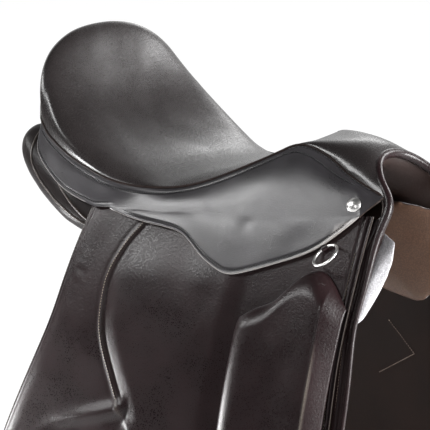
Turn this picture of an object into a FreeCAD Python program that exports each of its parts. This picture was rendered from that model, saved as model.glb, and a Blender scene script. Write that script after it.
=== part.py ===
import FreeCAD, Part
import math
import os

# English dressage saddle on a sprung tree. Millimetres.
# +X points to the pommel, +Y to the rider's left, +Z up.
# The origin is on the mid-plane, under the deepest part of the seat, level with the panels' lowest point.
# The right-hand side is modelled and mirrored for the left.

os.makedirs("parts", exist_ok=True)
Vec = FreeCAD.Vector

# ---- leather, foam and metal thicknesses
coverThickness = 2.0
skirtThickness = 3.8
flapThickness = 4.0
sweatFlapThickness = 3.6
billetThickness = 3.0
webThickness = 1.5
railThickness = 11.0
springThickness = 1.5
headThickness = 12.0
headPlateThickness = 2.0
headPlateInset = 12.0
gulletPlateThickness = 3.0
gulletPlateInset = 8.0
facingThickness = 2.5
liningThickness = 1.6

# ---- clearances
sameBodyGap = 0.3
hingeGap = 0.5
flapToSkirt = 2.0
billetGap = 1.0
pinClearance = 0.06

# ---- seat form: three design lines, one entry per station from the back of the cantle to the arch
# crest (x, z) on the mid-plane; shoulder (x, y, z) shapes the edge roll; seam (x, y, z) is the welt line
crestLine = [(-239, 218), (-238, 235), (-229, 244), (-216, 236), (-190, 194), (-156, 149), (-110, 113),
             (-60, 96), (-5, 93), (45, 111), (88, 133), (120, 149), (146, 156), (171, 157), (191, 152),
             (204, 145)]
shoulderLine = [(-219, -112, 190), (-215, -127, 204), (-207, -136, 210), (-197, -138, 203),
                (-184, -147, 188), (-160, -158, 160), (-116, -156, 124), (-66, -136, 99), (-14, -106, 92),
                (36, -82, 108), (76, -64, 130), (102, -50, 148), (122, -43, 156), (152, -43, 153),
                (186, -49, 143), (219, -50, 131)]
seamLine = [(-200, -131, 147), (-197, -133, 144), (-193, -134, 140), (-187, -136, 134), (-176, -138, 127),
            (-149, -139, 112), (-107, -134, 93), (-66, -121, 82), (-14, -101, 82), (34, -80, 96),
            (72, -64, 117), (97, -51, 134), (121, -42, 145), (152, -44, 142), (186, -51, 133),
            (240, -61, 112)]
foamDepth = [4, 5, 6, 9, 15, 20, 22, 22, 22, 20, 17, 14, 12, 11, 10, 8]
lastStation = len(crestLine) - 1
foamRearStation = 3
foamFrontStation = 14
foamReach = 0.6
crestFullness = 0.62

# ---- bend line of flap and skirt, on the flap's outer face
bendFront = Vec(205, -80, 84)
bendRear = Vec(-125, -138, 52)
flareTop = math.radians(27.5)
flareBottom = math.radians(8)
flareLength = 400.0
bendFrontOverrun = 60.0
bendRearOverrun = 140.0
sheetAbove = -5.0
sheetDepth = 480.0

# ---- stirrup bars
barFrontX = 196.0
barPlateLength = 44.0
barBladeLength = 92.0
barBladeHeight = 12.0
barBladeThickness = 4.5
barPlateThickness = 3.0
barPlateHeight = 20.0
barSlot = 7.0
barBossLength = 17.0
barRivetRadius = 3.0
rivetSink = 1.4
latchLength = 15.0
latchWidth = 9.0
latchThickness = 3.0
latchPinRadius = 2.0
latchPinCollar = 1.3
latchPinHead = 1.2
latchGap = 0.4
rivetReach = 1.8
rivetTail = 1.2
rivetTailCollar = 1.6

# ---- fittings
nailRadius = 8.3
nailDome = 3.6
ringOuterRadius = 17.0
ringWireRadius = 1.5
ringWireSides = 12
ringX = 190.0
ringStand = math.radians(40)
chapeWidth = 7.0
chapeThickness = 1.0
billetWidth = 30.0
billetLength = 400.0
billetHoleRadius = 2.4
billetHoleSpacing = 25.0
billetHoleCount = 8
billetTipToHole = 40.0
billetTipShare = 0.8
billetCutInside = 120.0
billetCutAcross = 360.0
frontBilletX = 62.0
rearBilletX = -30.0


def rail(points):
    curve = Part.BSplineCurve()
    curve.interpolate(Points=[Vec(*point) for point in points],
                      Parameters=[float(index) for index in range(len(points))])
    return curve


crestRail = rail([(x, 0, z) for x, z in crestLine])
shoulderRail = rail(shoulderLine)
seamRail = rail(seamLine)
depthRail = rail([(depth, 0, index) for index, depth in enumerate(foamDepth)])


def bezier(controls, share):
    while len(controls) > 1:
        controls = [a * (1 - share) + b * share for a, b in zip(controls, controls[1:])]
    return controls[0]


def seatTop(station, side):
    """Point on the seat's outer face; side runs from -1 at the right seam to 1 at the left seam."""
    crest = crestRail.value(station)
    shoulder = shoulderRail.value(station)
    easing = Vec(crest.x, shoulder.y * crestFullness, crest.z)
    point = bezier([crest, easing, shoulder, seamRail.value(station)], abs(side))
    return Vec(point.x, -point.y if side > 0 else point.y, point.z)


def seatPoint(station, side, depth):
    """Point at a depth under the seat's outer face, along its normal."""
    step = 0.02
    low, high = max(0, station - step), min(lastStation, station + step)
    left, right = max(-1, side - step), min(1, side + step)
    along = seatTop(high, side) - seatTop(low, side)
    across = seatTop(station, right) - seatTop(station, left)
    normal = along.cross(across)
    normal.normalize()
    return seatTop(station, side) - normal * depth


def seatBelow(station, side, depth):
    """Point under the seat's outer face, moved square to the crest line, so that thick layers stay smooth."""
    step = 0.05
    slope = crestRail.value(min(lastStation, station + step)) - crestRail.value(max(0, station - step))
    square = Vec(-slope.z, 0, slope.x)
    return seatTop(station, side) - square.normalize() * depth


def foamBottom(station):
    return depthRail.value(station).x


def spread(start, end, count):
    return [start + (end - start) * index / (count - 1) for index in range(count)]


def splineThrough(points, parameters):
    curve = Part.BSplineCurve()
    if len(points) == 2:
        knots = [float(value) for value in parameters]
        curve.buildFromPolesMultsKnots(points, [2, 2], knots, False, 1)
    else:
        curve.interpolate(Points=points, Parameters=[float(value) for value in parameters])
    return curve


def gridSurface(pointAt, rows, columns):
    """Surface through a grid of points: splines across each row, then splines through their poles."""
    across = [splineThrough([pointAt(row, column) for column in columns], columns) for row in rows]
    poles = [curve.getPoles() for curve in across]
    along = [splineThrough([line[index] for line in poles], rows) for index in range(len(poles[0]))]
    grid = [[curve.getPole(index + 1) for curve in along] for index in range(along[0].NbPoles)]
    surface = Part.BSplineSurface()
    surface.buildFromPolesMultsKnots(grid, along[0].getMultiplicities(), across[0].getMultiplicities(),
                                     along[0].getKnots(), across[0].getKnots(), False, False,
                                     along[0].Degree, across[0].Degree)
    return surface


def closedSolid(faces):
    shell = Part.makeShell(faces)
    shell.sewShape()
    solid = Part.Solid(shell)
    if solid.Volume < 0:
        solid.reverse()
    return solid


def facet(*corners):
    return Part.Face(Part.makePolygon(corners + corners[:1]))


def netFaces(net):
    """Two flat facets for each cell of a net of points."""
    faces = []
    for near, far in zip(net, net[1:]):
        for a, b, c, d in zip(near, near[1:], far[1:], far):
            faces += [facet(a, b, c), facet(a, c, d)]
    return faces


def slab(outerAt, innerAt, rows, columns):
    """Closed solid between two faces that share one grid of rows and columns."""
    outer = [[outerAt(row, column) for column in columns] for row in rows]
    inner = [[innerAt(row, column) for column in columns] for row in rows]
    faces = netFaces(outer) + netFaces(inner)
    for end in (0, -1):
        faces += netFaces([outer[end], inner[end]])
        faces += netFaces([[line[end] for line in outer], [line[end] for line in inner]])
    return closedSolid(faces)


def tube(pointAt, rows, columns):
    """Closed solid of ring sections; the last column comes back to the first."""
    net = [[pointAt(row, column) for column in columns] for row in rows]
    caps = [facet(*net[end][:-1]) for end in (0, -1)]
    return closedSolid(netFaces([line[:-1] + line[:1] for line in net]) + caps)


def seatSlab(stations, sides, top, bottom):
    return slab(lambda row, column: seatBelow(row, column, top(row)),
                lambda row, column: seatBelow(row, column, bottom(row)), stations, sides)


def mirrored(shape):
    return shape.mirror(Vec(0, 0, 0), Vec(0, 1, 0))


def save(shape, node):
    shape.exportStep("parts/" + node + ".step")


def savePair(shape, node):
    save(shape, node + "_right")
    save(mirrored(shape), node + "_left")


# ---- seat
coverStations = spread(0, lastStation, 2 * lastStation + 1)
roundedSides = [0.14, 0.3, 0.46, 0.6, 0.72, 0.82, 0.91, 1]
coverSides = [-side for side in reversed(roundedSides)] + [0] + roundedSides


def stationsFrom(rear, front):
    return [station for station in coverStations if rear <= station <= front]


def sidesFrom(right, left):
    return [side for side in coverSides if right <= side <= left]


def seatCover():
    return slab(lambda row, column: seatTop(row, column),
                lambda row, column: seatPoint(row, column, coverThickness),
                coverStations, coverSides)


def seatFoam():
    def top(row, column):
        return seatPoint(row, column, coverThickness + 2 * sameBodyGap)

    def bottom(row, column):
        return seatBelow(row, column, foamBottom(row))

    return slab(top, bottom, stationsFrom(foamRearStation, foamFrontStation), sidesFrom(-foamReach, foamReach))


def webTop(station):
    return foamBottom(station) + sameBodyGap


def webBottom(station):
    return webTop(station) + webThickness


def railTop(station):
    return webBottom(station) + sameBodyGap


def railBottom(station):
    return railTop(station) + railThickness


def springTop(station):
    return railBottom(station) + sameBodyGap


def springBottom(station):
    return springTop(station) + springThickness


cantleTopStation = 4.5
cantleFrontStation = 5.5
railFrontStation = 13
cantleReach = 0.6
railSides = (-0.6, -0.3)
springSides = (-0.46, -0.3)
webSides = (0.14, 0.3)
headRearX = 150.0
headFrontX = 198.0


def seatWebbing():
    left = seatSlab(stationsFrom(4, railFrontStation), sidesFrom(*webSides), webTop, webBottom)
    return Part.makeCompound([left, mirrored(left)])


def treeCantle():
    return seatSlab(stationsFrom(cantleTopStation, cantleFrontStation), sidesFrom(-cantleReach, cantleReach),
                    railTop, railBottom)


def treeRail():
    stations = [cantleFrontStation + 0.02] + stationsFrom(cantleFrontStation + 0.1, railFrontStation)
    whole = seatSlab(stations, sidesFrom(*railSides), railTop, railBottom)
    ahead = Part.makeBox(100, 400, 400, Vec(headRearX - sameBodyGap, -200, -100))
    return whole.cut(ahead)


def springSteels():
    right = seatSlab(stationsFrom(5, 12), sidesFrom(*springSides), springTop, springBottom)
    return Part.makeCompound([right, mirrored(right)])


# ---- tree head: a laminated arch whose points run down inside the flaps
headOuterLine = [(0, 137), (20, 133), (36, 121), (53, 101), (71, 74), (85, 46)]


def offsetLine(points, distance):
    """The line moved towards the inside of the arch."""
    curve = Part.BSplineCurve()
    curve.interpolate([Vec(0, -x, z) for x, z in points], False)
    moved = []
    for index, (x, z) in enumerate(points):
        tangent = curve.tangent(curve.parameter(Vec(0, -x, z)))[0] if index else Vec(0, -1, 0)
        inward = Vec(0, -tangent.z, tangent.y) if index else Vec(0, 0, -1)
        if inward.z > 0:
            inward = inward * -1
        moved.append((x - inward.y * distance, z + inward.z * distance))
    return moved


def archEdge(points, x):
    left = [Vec(x, y, z) for y, z in reversed(points[1:])]
    right = [Vec(x, -y, z) for y, z in points]
    curve = Part.BSplineCurve()
    curve.interpolate(left + right)
    return curve.toShape()


def archSlab(outerPoints, innerPoints, rearX, frontX):
    outer = archEdge(outerPoints, rearX)
    inner = archEdge(innerPoints, rearX)
    ends = [Part.makeLine(outer.valueAt(outer.FirstParameter), inner.valueAt(inner.FirstParameter)),
            Part.makeLine(outer.valueAt(outer.LastParameter), inner.valueAt(inner.LastParameter))]
    wire = Part.Wire(Part.__sortEdges__([outer, inner] + ends))
    return Part.Face(wire).extrude(Vec(frontX - rearX, 0, 0))


headInnerLine = offsetLine(headOuterLine, headThickness)


def treeHead():
    return archSlab(headOuterLine, headInnerLine, headRearX, headFrontX)


def headPlate():
    low = offsetLine(headOuterLine[:4], -sameBodyGap)
    high = offsetLine(headOuterLine[:4], -sameBodyGap - headPlateThickness)
    return archSlab(high, low, headRearX + headPlateInset, headFrontX - headPlateInset)


def gulletPlate():
    top = offsetLine(headInnerLine, sameBodyGap)
    bottom = offsetLine(headInnerLine, sameBodyGap + gulletPlateThickness)
    return archSlab(top[:4], bottom[:4], headRearX + gulletPlateInset, headFrontX - gulletPlateInset)


# ---- flap frame: the flap is a shallow arc swept along the bend line
bendAlong = (bendRear - bendFront).normalize()
bendOut = Vec(bendAlong.y, -bendAlong.x, 0).normalize()
if bendOut.y > 0:
    bendOut = bendOut * -1
bendDown = bendAlong.cross(bendOut).normalize()
if bendDown.z > 0:
    bendDown = bendDown * -1
flareRadius = flareLength / (flareTop - flareBottom)
bendLength = (bendRear - bendFront).Length


def flapPoint(along, down, lift):
    """Point at a distance along the bend, a length down the flap, and a lift off its outer face."""
    angle = flareTop - down / flareRadius
    radius = flareRadius + lift
    out = radius * math.cos(angle) - flareRadius * math.cos(flareTop)
    drop = flareRadius * math.sin(flareTop) - radius * math.sin(angle)
    return bendFront + bendAlong * along + bendOut * out + bendDown * drop


def flapSpot(x, z, lift):
    """Distances along and down the flap of the point that has the given x and z at that lift."""
    along, down = 0.0, 0.0
    for _ in range(12):
        point = flapPoint(along, down, lift)
        along += (point.x - x) / -bendAlong.x
        down += (point.z - z) / -bendDown.z
    return along, down


def flapAt(x, z, lift):
    return flapPoint(*flapSpot(x, z, lift), lift)


def faceNormal(x, z, lift):
    along, down = flapSpot(x, z, lift)
    return (flapPoint(along, down, lift + 1) - flapPoint(along, down, lift)).normalize()


def flareSlab(outerLift, innerLift, start, end):
    """Arc-shaped sheet along the whole bend, between two lifts off the flap's outer face."""
    begin = -bendFrontOverrun
    middle = (start + end) / 2
    outer = Part.Arc(*[flapPoint(begin, down, outerLift) for down in (start, middle, end)]).toShape()
    inner = Part.Arc(*[flapPoint(begin, down, innerLift) for down in (start, middle, end)]).toShape()
    ends = [Part.makeLine(flapPoint(begin, down, outerLift), flapPoint(begin, down, innerLift))
            for down in (start, end)]
    wire = Part.Wire(Part.__sortEdges__([outer, inner] + ends))
    length = bendFrontOverrun + bendLength + bendRearOverrun
    return Part.Face(wire).extrude(bendAlong * length)


def smoothEdge(points):
    if len(points) == 2:
        return Part.makeLine(points[0], points[1])
    curve = Part.BSplineCurve()
    curve.interpolate(points)
    return curve.toShape()


def outlinePrism(runs):
    """Prism across the right-hand side whose side view is the closed outline given as smooth runs."""
    edges = [smoothEdge([Vec(x, -20, z) for x, z in run]) for run in runs]
    return Part.Face(Part.Wire(edges)).extrude(Vec(0, -380, 0))


# ---- flap
flapFront = [(238, 130), (238, 60), (238, 0), (239, -66), (243, -132), (243, -210), (236, -270)]
flapBottom = [(236, -270), (212, -312), (150, -333), (20, -340), (-100, -333), (-160, -306),
              (-182, -255)]
flapRear = [(-182, -255), (-172, -207), (-156, -146), (-140, -83), (-134, -40), (-129, 4), (-122, 44),
            (-118, 90)]


def flap():
    outline = outlinePrism([flapFront, flapBottom, flapRear, [flapRear[-1], flapFront[0]]])
    return flareSlab(0, -flapThickness, hingeGap, sheetDepth).common(outline)


# ---- skirt leaf, the part of the skirt that lies on the flap and lifts off the stirrup bar
leafEdge = [(228, 92), (216, 77), (194, 56), (168, 39), (128, 22), (92, 9.5), (70, 12), (46, 23),
            (22, 39), (-3, 46), (-45, 49), (-88, 56)]
skirtUnder = flapToSkirt
skirtOver = flapToSkirt + skirtThickness


def skirtLeaf():
    top = [(leafEdge[-1][0], 140), (leafEdge[0][0], 140)]
    outline = outlinePrism([leafEdge, [leafEdge[-1], top[0]], top, [top[1], leafEdge[0]]])
    return flareSlab(skirtOver, skirtUnder, hingeGap / 2, sheetDepth).common(outline)


# ---- skirt band, the fixed part between the welt and the bend
tailEdge = [(-203, -131, 134), (-206, -134, 117), (-200, -137, 104), (-188, -139.5, 92),
            (-172, -142, 80), (-148, -144, 68)]
bandTopGap = 0.5
bandBulgeX = 140.0
bandBulgeReach = 75.0
bandBulgeHeight = 9.0


def bendOuter(x):
    along = (x - flapPoint(0, 0, skirtOver).x) / bendAlong.x
    return flapPoint(along, -hingeGap / 2, skirtOver)


bandBendX = [-110, -66, -16, 34, 74, 101, 126, 154, 186, 224]
tailRail = rail(tailEdge + [tuple(bendOuter(bandBendX[0]))])
bandBendRail = rail([(x, 0, 0) for x in bandBendX])


def bandLow(station):
    """Lower edge of the band: the tail's free edge first, then the bend line."""
    if station <= len(tailEdge):
        return tailRail.value(station)
    rise = max(0.0, station - lastStation + 1) * 2
    return bendOuter(bandBendRail.value(station - len(tailEdge)).x) + Vec(0, 0, rise)


def bandControls(station):
    seam = seamRail.value(station)
    low = bandLow(station)
    fall = (low - seam)
    top = seam + Vec(fall).normalize() * bandTopGap
    outward = Vec(1, 0, 0).cross(fall)
    if outward.y > 0:
        outward = outward * -1
    outward.normalize()
    away = (seam.x - bandBulgeX) / bandBulgeReach
    bulge = bandBulgeHeight * math.exp(-away * away)
    return [top, (top + low) * 0.5 + outward * bulge, low]


def bandPoint(station, share, depth):
    point = bezier(bandControls(station), share)
    if depth:
        near = max(0, station - 0.05)
        far = min(lastStation, station + 0.05)
        along = bezier(bandControls(far), share) - bezier(bandControls(near), share)
        down = bezier(bandControls(station), min(1, share + 0.02)) \
            - bezier(bandControls(station), max(0, share - 0.02))
        normal = along.cross(down)
        if normal.y > 0:
            normal = normal * -1
        normal.normalize()
        square = (flapPoint(0, 0, 1) - flapPoint(0, 0, 0)).normalize()
        turn = share ** 4 * min(1, max(0, station - 5))
        point = point - (normal * (1 - turn) + square * turn).normalize() * depth
    return point


def skirtBand():
    return slab(lambda row, column: bandPoint(row, column, 0),
                lambda row, column: bandPoint(row, column, skirtThickness),
                spread(0, lastStation, 2 * lastStation + 1), spread(0, 1, 5))


# ---- knee block, moulded on the flap
blockRearX = 111.0
blockFrontX = 236.0
blockBottomZ = -238.0
blockEdge = 7.0
blockCrown = 19.0
blockTop = [(0, -34), (0.15, -21), (0.32, -9), (0.48, 14), (0.64, 26), (0.78, 21), (0.9, 6), (1, -8)]
blockTopCurve = splineThrough([Vec(share, 0, z) for share, z in blockTop], [share for share, z in blockTop])


def blockPlace(share, down):
    top = blockTopCurve.value(share).z
    z = top + (blockBottomZ - top) * down
    x = blockRearX + (blockFrontX - blockRearX) * share + 5 * down * down
    return x, z


def blockLift(share, down):
    across = math.sin(math.pi * share ** 1.5) ** 0.8
    ends = math.sin(math.pi * min(0.5, down + 0.06)) * math.sin(math.pi * min(0.5, 1.12 - down))
    return sameBodyGap + blockEdge + blockCrown * across * ends


def kneeBlock():
    return slab(lambda row, column: flapAt(*blockPlace(row, column), blockLift(row, column)),
                lambda row, column: flapAt(*blockPlace(row, column), sameBodyGap),
                spread(0, 1, 11), spread(0, 1, 9))


# ---- sweat flap, between the billets and the panel
sweatTop = -(flapThickness + 2 * billetGap + billetThickness)
sweatFront = [(248, 50), (248, 30), (246, -8), (247, -40), (252, -100), (253, -170), (244, -245)]
sweatBottom = [(244, -245), (210, -292), (140, -312), (30, -320), (-80, -313), (-130, -288), (-150, -240)]
sweatRear = [(-150, -240), (-141, -150), (-124, -60), (-112, 10)]
sweatUpper = [(-112, 10), (-60, 20), (20, 24), (110, 28), (160, 30), (207, 33), (230, 44), (248, 50)]


def sweatFlap():
    outline = outlinePrism([sweatFront, sweatBottom, sweatRear, sweatUpper])
    return flareSlab(sweatTop, sweatTop - sweatFlapThickness, sheetAbove, sheetDepth).common(outline)


# ---- billets and the webbing that carries them
billetTop = -(flapThickness + billetGap)
billetStart = 10.0
webbingWidth = 38.0
webbingLap = 14.0
webbingSlack = 0.9
levelAlong = Vec(bendAlong.x, bendAlong.y, 0).normalize()


def bendLineZ(x):
    return bendFront.z + bendAlong.z * (x - bendFront.x) / bendAlong.x


def billetPivot(x):
    return flapAt(x, bendLineZ(x) - billetStart - webbingLap / 2, billetTop - billetThickness / 2)


def billet(x):
    pivot = billetPivot(x)
    half = billetWidth / 2
    high = bendLineZ(x) - billetStart - pivot.z
    low = high - billetLength

    def place(along, up):
        return pivot + levelAlong * along + Vec(0, 0, up) - bendOut * billetCutInside

    tipTop = low + half * billetTipShare
    tip = Part.Arc(place(half, tipTop), place(0, low), place(-half, tipTop)).toShape()
    edges = [Part.makeLine(place(half, high), place(half, tipTop)), tip,
             Part.makeLine(place(-half, tipTop), place(-half, high)),
             Part.makeLine(place(-half, high), place(half, high))]
    strip = Part.Face(Part.Wire(edges)).extrude(bendOut * billetCutAcross)
    strap = flareSlab(billetTop, billetTop - billetThickness, sheetAbove, sheetDepth).common(strip)
    heights = [low + billetTipToHole + index * billetHoleSpacing for index in range(billetHoleCount)]
    holes = [Part.makeCylinder(billetHoleRadius, billetCutAcross, place(0, up), bendOut) for up in heights]
    return strap.cut(Part.makeCompound(holes))


def stationAtX(x):
    low, high = 5.0, float(lastStation)
    for _ in range(30):
        middle = (low + high) / 2
        if seatBelow(middle, railSides[0], springBottom(middle)).x < x:
            low = middle
        else:
            high = middle
    return low


def girthWebbing(x):
    lift = billetTop - billetThickness - webbingSlack

    def path(across, drop):
        place = x + across
        station = stationAtX(place)
        level = seatBelow(station, railSides[0], springBottom(station)).z - sameBodyGap
        reach = -seatTop(station, railSides[0] - 0.02).y
        top = flapAt(place, bendLineZ(x) - billetStart, lift - drop)
        end = flapAt(place, bendLineZ(x) - billetStart - webbingLap, lift - drop)
        outer = Vec(place, -reach, level - drop)
        side = [end, (end + top) * 0.5, top, (top + outer) * 0.5, outer, Vec(place, -reach / 3, level - drop)]
        other = [Vec(point.x, -point.y, point.z) for point in reversed(side)]
        curve = Part.BSplineCurve()
        curve.buildFromPoles(side + other, False, 2)
        return curve

    return slab(lambda row, column: path(row, 0).value(column),
                lambda row, column: path(row, webThickness).value(column),
                spread(-webbingWidth / 2, webbingWidth / 2, 3), spread(0, 1, 27))


# ---- panels: closed sections (outward, up) from the rear point to the front point
panelSections = [
    (-258, [(72, 120), (90, 124), (104, 117), (109, 104), (100, 92), (78, 92), (64, 106)]),
    (-232, [(48, 116), (94, 126), (119, 108), (123, 84), (108, 62), (56, 64), (39, 90)]),
    (-190, [(34, 88), (100, 99), (129, 84), (135, 58), (116, 35), (50, 35), (28, 62)]),
    (-140, [(32, 60), (98, 73), (129, 60), (138, 34), (116, 12), (46, 12), (27, 38)]),
    (-70, [(30, 40), (90, 46), (112, 38), (122, 20), (108, 1), (44, 1), (26, 21)]),
    (0, [(30, 36), (84, 40), (102, 30), (116, 7), (106, -12), (46, -2), (27, 19)]),
    (60, [(32, 48), (72, 51), (90, 38), (114, 0), (108, -28), (58, -8), (33, 25)]),
    (120, [(34, 66), (54, 66), (74, 42), (106, -16), (109, -48), (80, -40), (46, 18)]),
    (180, [(33, 78), (41, 78), (66, 49), (98, -22), (110, -58), (92, -58), (57, 16)]),
    (228, [(49, 73), (56, 73), (67, 47), (93, -14), (106, -52), (91, -54), (66, 18)]),
    (264, [(70, 62), (74, 62), (77, 42), (88, 4), (95, -24), (87, -26), (76, 20)])]


panelSteps = 2


def panel():
    def place(row, column):
        x, section = panelSections[row]
        out, up = section[column % len(section)]
        return Vec(x, -out, up)

    sections, corners = len(panelSections) - 1, len(panelSections[0][1])
    surface = gridSurface(place, range(sections + 1), range(corners + 1))
    return tube(surface.value, spread(0, sections, sections * panelSteps + 1),
                spread(0, corners, corners * panelSteps + 1))


# ---- stirrup bar on the head's flank, in its own axes: back along the tree, out of it, and up its slope
barBase = 62.2
barHigh = 89.5
barSlope = math.radians(56)
barBack = Vec(-1, 0, 0)
barOut = Vec(0, -math.sin(barSlope), math.cos(barSlope))
barUp = Vec(0, math.cos(barSlope), math.sin(barSlope))
barOrigin = Vec(barFrontX, -barBase, barHigh)
bladeLow = barPlateThickness + barSlot
bladeHigh = bladeLow + barBladeThickness
rivetPlaces = (barBossLength + 6, barPlateLength - 6)
latchPinPlace = barBladeLength - 7


def barPoint(back, out, up):
    return barOrigin + barBack * back + barOut * out + barUp * up


def barBlock(backs, outs, ups):
    corners = [barPoint(backs[0], outs[0], ups[0]), barPoint(backs[1], outs[0], ups[0]),
               barPoint(backs[1], outs[0], ups[1]), barPoint(backs[0], outs[0], ups[1])]
    return Part.Face(Part.makePolygon(corners + corners[:1])).extrude(barOut * (outs[1] - outs[0]))


def barRod(back, up, radius, low, high):
    return Part.makeCylinder(radius, high - low, barPoint(back, low, up), barOut)


def edgesAlong(shape, direction, shortest):
    return [edge for edge in shape.Edges if edge.Length > shortest
            and abs(abs(edge.tangentAt(edge.FirstParameter).dot(direction)) - 1) < 0.001]


def stirrupBar():
    half = barBladeHeight / 2
    plate = barBlock((0, barPlateLength), (0, barPlateThickness), (-barPlateHeight / 2, barPlateHeight / 2))
    plate = plate.makeFillet(4.0, edgesAlong(plate, barOut, barPlateThickness - 0.5))
    blade = barBlock((0, barBladeLength), (bladeLow, bladeHigh), (-half, half))
    blade = blade.makeFillet(half - 0.5, [edge for edge in edgesAlong(blade, barOut, 1)
                                          if edge.CenterOfMass.x < barFrontX - barBladeLength + 1])
    boss = barBlock((0, barBossLength), (0, bladeHigh), (-half, half))
    body = plate.fuse([blade, boss]).removeSplitter()
    body = body.makeFillet(1.4, [edge for edge in edgesAlong(body, barBack, 60)])
    for back in rivetPlaces:
        body = body.cut(barRod(back, 0, barRivetRadius + pinClearance, -1, barPlateThickness + 1))
        body = body.cut(sunkHead(back, pinClearance))
    return body.cut(barRod(latchPinPlace, 0, latchPinRadius + pinClearance, bladeLow - 1, bladeHigh + 1))


def sunkHead(back, extra):
    return Part.makeCone(barRivetRadius, barRivetRadius + rivetSink + extra, rivetSink + extra,
                         barPoint(back, barPlateThickness - rivetSink, 0), barOut)


def latchPin():
    inner = bladeLow - 2 * latchGap - latchThickness
    outer = bladeHigh + sameBodyGap
    rod = barRod(latchPinPlace, 0, latchPinRadius, inner - latchPinHead, outer + latchPinHead)
    collars = [barRod(latchPinPlace, 0, latchPinRadius + latchPinCollar, inner - latchPinHead, inner),
               barRod(latchPinPlace, 0, latchPinRadius + latchPinCollar, outer, outer + latchPinHead)]
    return rod.fuse(collars).removeSplitter()


def barLatch():
    low = bladeLow - latchGap - latchThickness
    high = bladeLow - latchGap
    half = latchWidth / 2
    arm = barBlock((latchPinPlace - half, latchPinPlace + half), (low, high), (0, latchLength))
    arm = arm.fuse([barRod(latchPinPlace, 0, half, low, high)]).removeSplitter()
    arm = arm.makeFillet(2.5, [edge for edge in edgesAlong(arm, barOut, 1)
                               if (edge.CenterOfMass - barOrigin).dot(barUp) > latchLength - 1])
    return arm.cut(barRod(latchPinPlace, 0, latchPinRadius + pinClearance, low - 1, high + 1))


def barRivets():
    reach = headThickness + rivetReach
    rivets = []
    for back in rivetPlaces:
        shank = barRod(back, 0, barRivetRadius, -reach, barPlateThickness)
        head = sunkHead(back, 0)
        tail = barRod(back, 0, barRivetRadius + rivetTailCollar, -reach - rivetTail, -reach)
        rivets.append(shank.fuse([head, tail]).removeSplitter())
    return Part.makeCompound(rivets)


def rivetHoles():
    return Part.makeCompound([barRod(back, 0, barRivetRadius + pinClearance, -40, 1)
                              for back in rivetPlaces])


# ---- saddle nail through skirt band and head
nailX = 213.0
nailZ = 97.5


def nailSpot():
    best = min(((station / 20.0, share / 20.0) for station in range(250, 300) for share in range(4, 20)),
               key=lambda spot: (bandPoint(spot[0], spot[1], 0).x - nailX) ** 2
               + (bandPoint(spot[0], spot[1], 0).z - nailZ) ** 2)
    outer = bandPoint(best[0], best[1], 0)
    direction = (outer - bandPoint(best[0], best[1], skirtThickness)).normalize()
    return outer, direction


nailSeat, nailOut = nailSpot()
nailShank = 1.5
nailLength = 11.0


def saddleNail():
    ball = (nailRadius ** 2 + nailDome ** 2) / (2 * nailDome)
    seat = nailSeat + nailOut * 2 * sameBodyGap
    sphere = Part.makeSphere(ball, seat - nailOut * (ball - nailDome))
    dome = sphere.common(Part.makeCylinder(nailRadius * 1.2, nailDome * 2, seat, nailOut))
    shank = Part.makeCylinder(nailShank, nailLength, seat + nailOut * 0.2, nailOut * -1)
    return dome.fuse(shank).removeSplitter()


def nailHole():
    return Part.makeCylinder(nailShank + pinClearance, 30, nailSeat + nailOut * 5, nailOut * -1)


# ---- front ring on its chape
leafEdgeCurve = splineThrough([Vec(x, 0, z) for x, z in leafEdge], range(len(leafEdge)))
chapeLoopInner = ringWireRadius + 0.5
chapeLoopOuter = chapeLoopInner + chapeThickness
ringLift = chapeLoopOuter + sameBodyGap
chapeStrap = 20.0


def leafEdgeZ(x):
    low, high = 0.0, float(len(leafEdge) - 1)
    for _ in range(30):
        middle = (low + high) / 2
        if leafEdgeCurve.value(middle).x > x:
            low = middle
        else:
            high = middle
    return leafEdgeCurve.value(low).z


edgeStep = 3.0
edgeBehind = flapAt(ringX - edgeStep, leafEdgeZ(ringX - edgeStep), ringLift)
edgeAhead = flapAt(ringX + edgeStep, leafEdgeZ(ringX + edgeStep), ringLift)
ringAxis = (edgeAhead - edgeBehind).normalize()
edgeMiddle = (edgeBehind + edgeAhead) * 0.5
ringFall = ringAxis.cross(faceNormal(edgeMiddle.x, edgeMiddle.z, ringLift)).normalize()
if ringFall.z > 0:
    ringFall = ringFall * -1
ringNear = edgeMiddle + ringFall * (chapeLoopOuter + 1.0)
ringPivot = flapAt(ringNear.x, ringNear.z, ringLift)
flapNormal = faceNormal(ringPivot.x, ringPivot.z, ringLift)
ringAxis = (ringAxis - flapNormal * ringAxis.dot(flapNormal)).normalize()
ringFall = ringAxis.cross(flapNormal).normalize()
if ringFall.z > 0:
    ringFall = ringFall * -1
ringDown = (ringFall * math.cos(ringStand) + flapNormal * math.sin(ringStand)).normalize()
ringNormal = ringAxis.cross(ringDown).normalize()


def frontRing():
    middle = ringOuterRadius - ringWireRadius
    centre = ringPivot + ringDown * middle
    turns = [2 * math.pi * index / ringWireSides for index in range(ringWireSides + 1)]
    section = [centre + ringDown * (middle + ringWireRadius * math.cos(turn))
               + ringNormal * ringWireRadius * math.sin(turn) for turn in turns]
    return Part.Face(Part.makePolygon(section[:-1] + section[:1])).revolve(centre, ringNormal, 360)


def ringChape():
    start = ringPivot - ringAxis * (chapeWidth / 2)
    loop = Part.makeCylinder(chapeLoopOuter, chapeWidth, start, ringAxis)
    corner = start - flapNormal * chapeLoopOuter
    corners = [corner, corner + ringAxis * chapeWidth,
               corner + ringAxis * chapeWidth - ringFall * chapeStrap, corner - ringFall * chapeStrap]
    strap = Part.Face(Part.makePolygon(corners + corners[:1])).extrude(flapNormal * chapeThickness)
    return loop.fuse(strap).removeSplitter().cut(
        Part.makeCylinder(chapeLoopInner, chapeWidth + 2, start - ringAxis, ringAxis))


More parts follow.
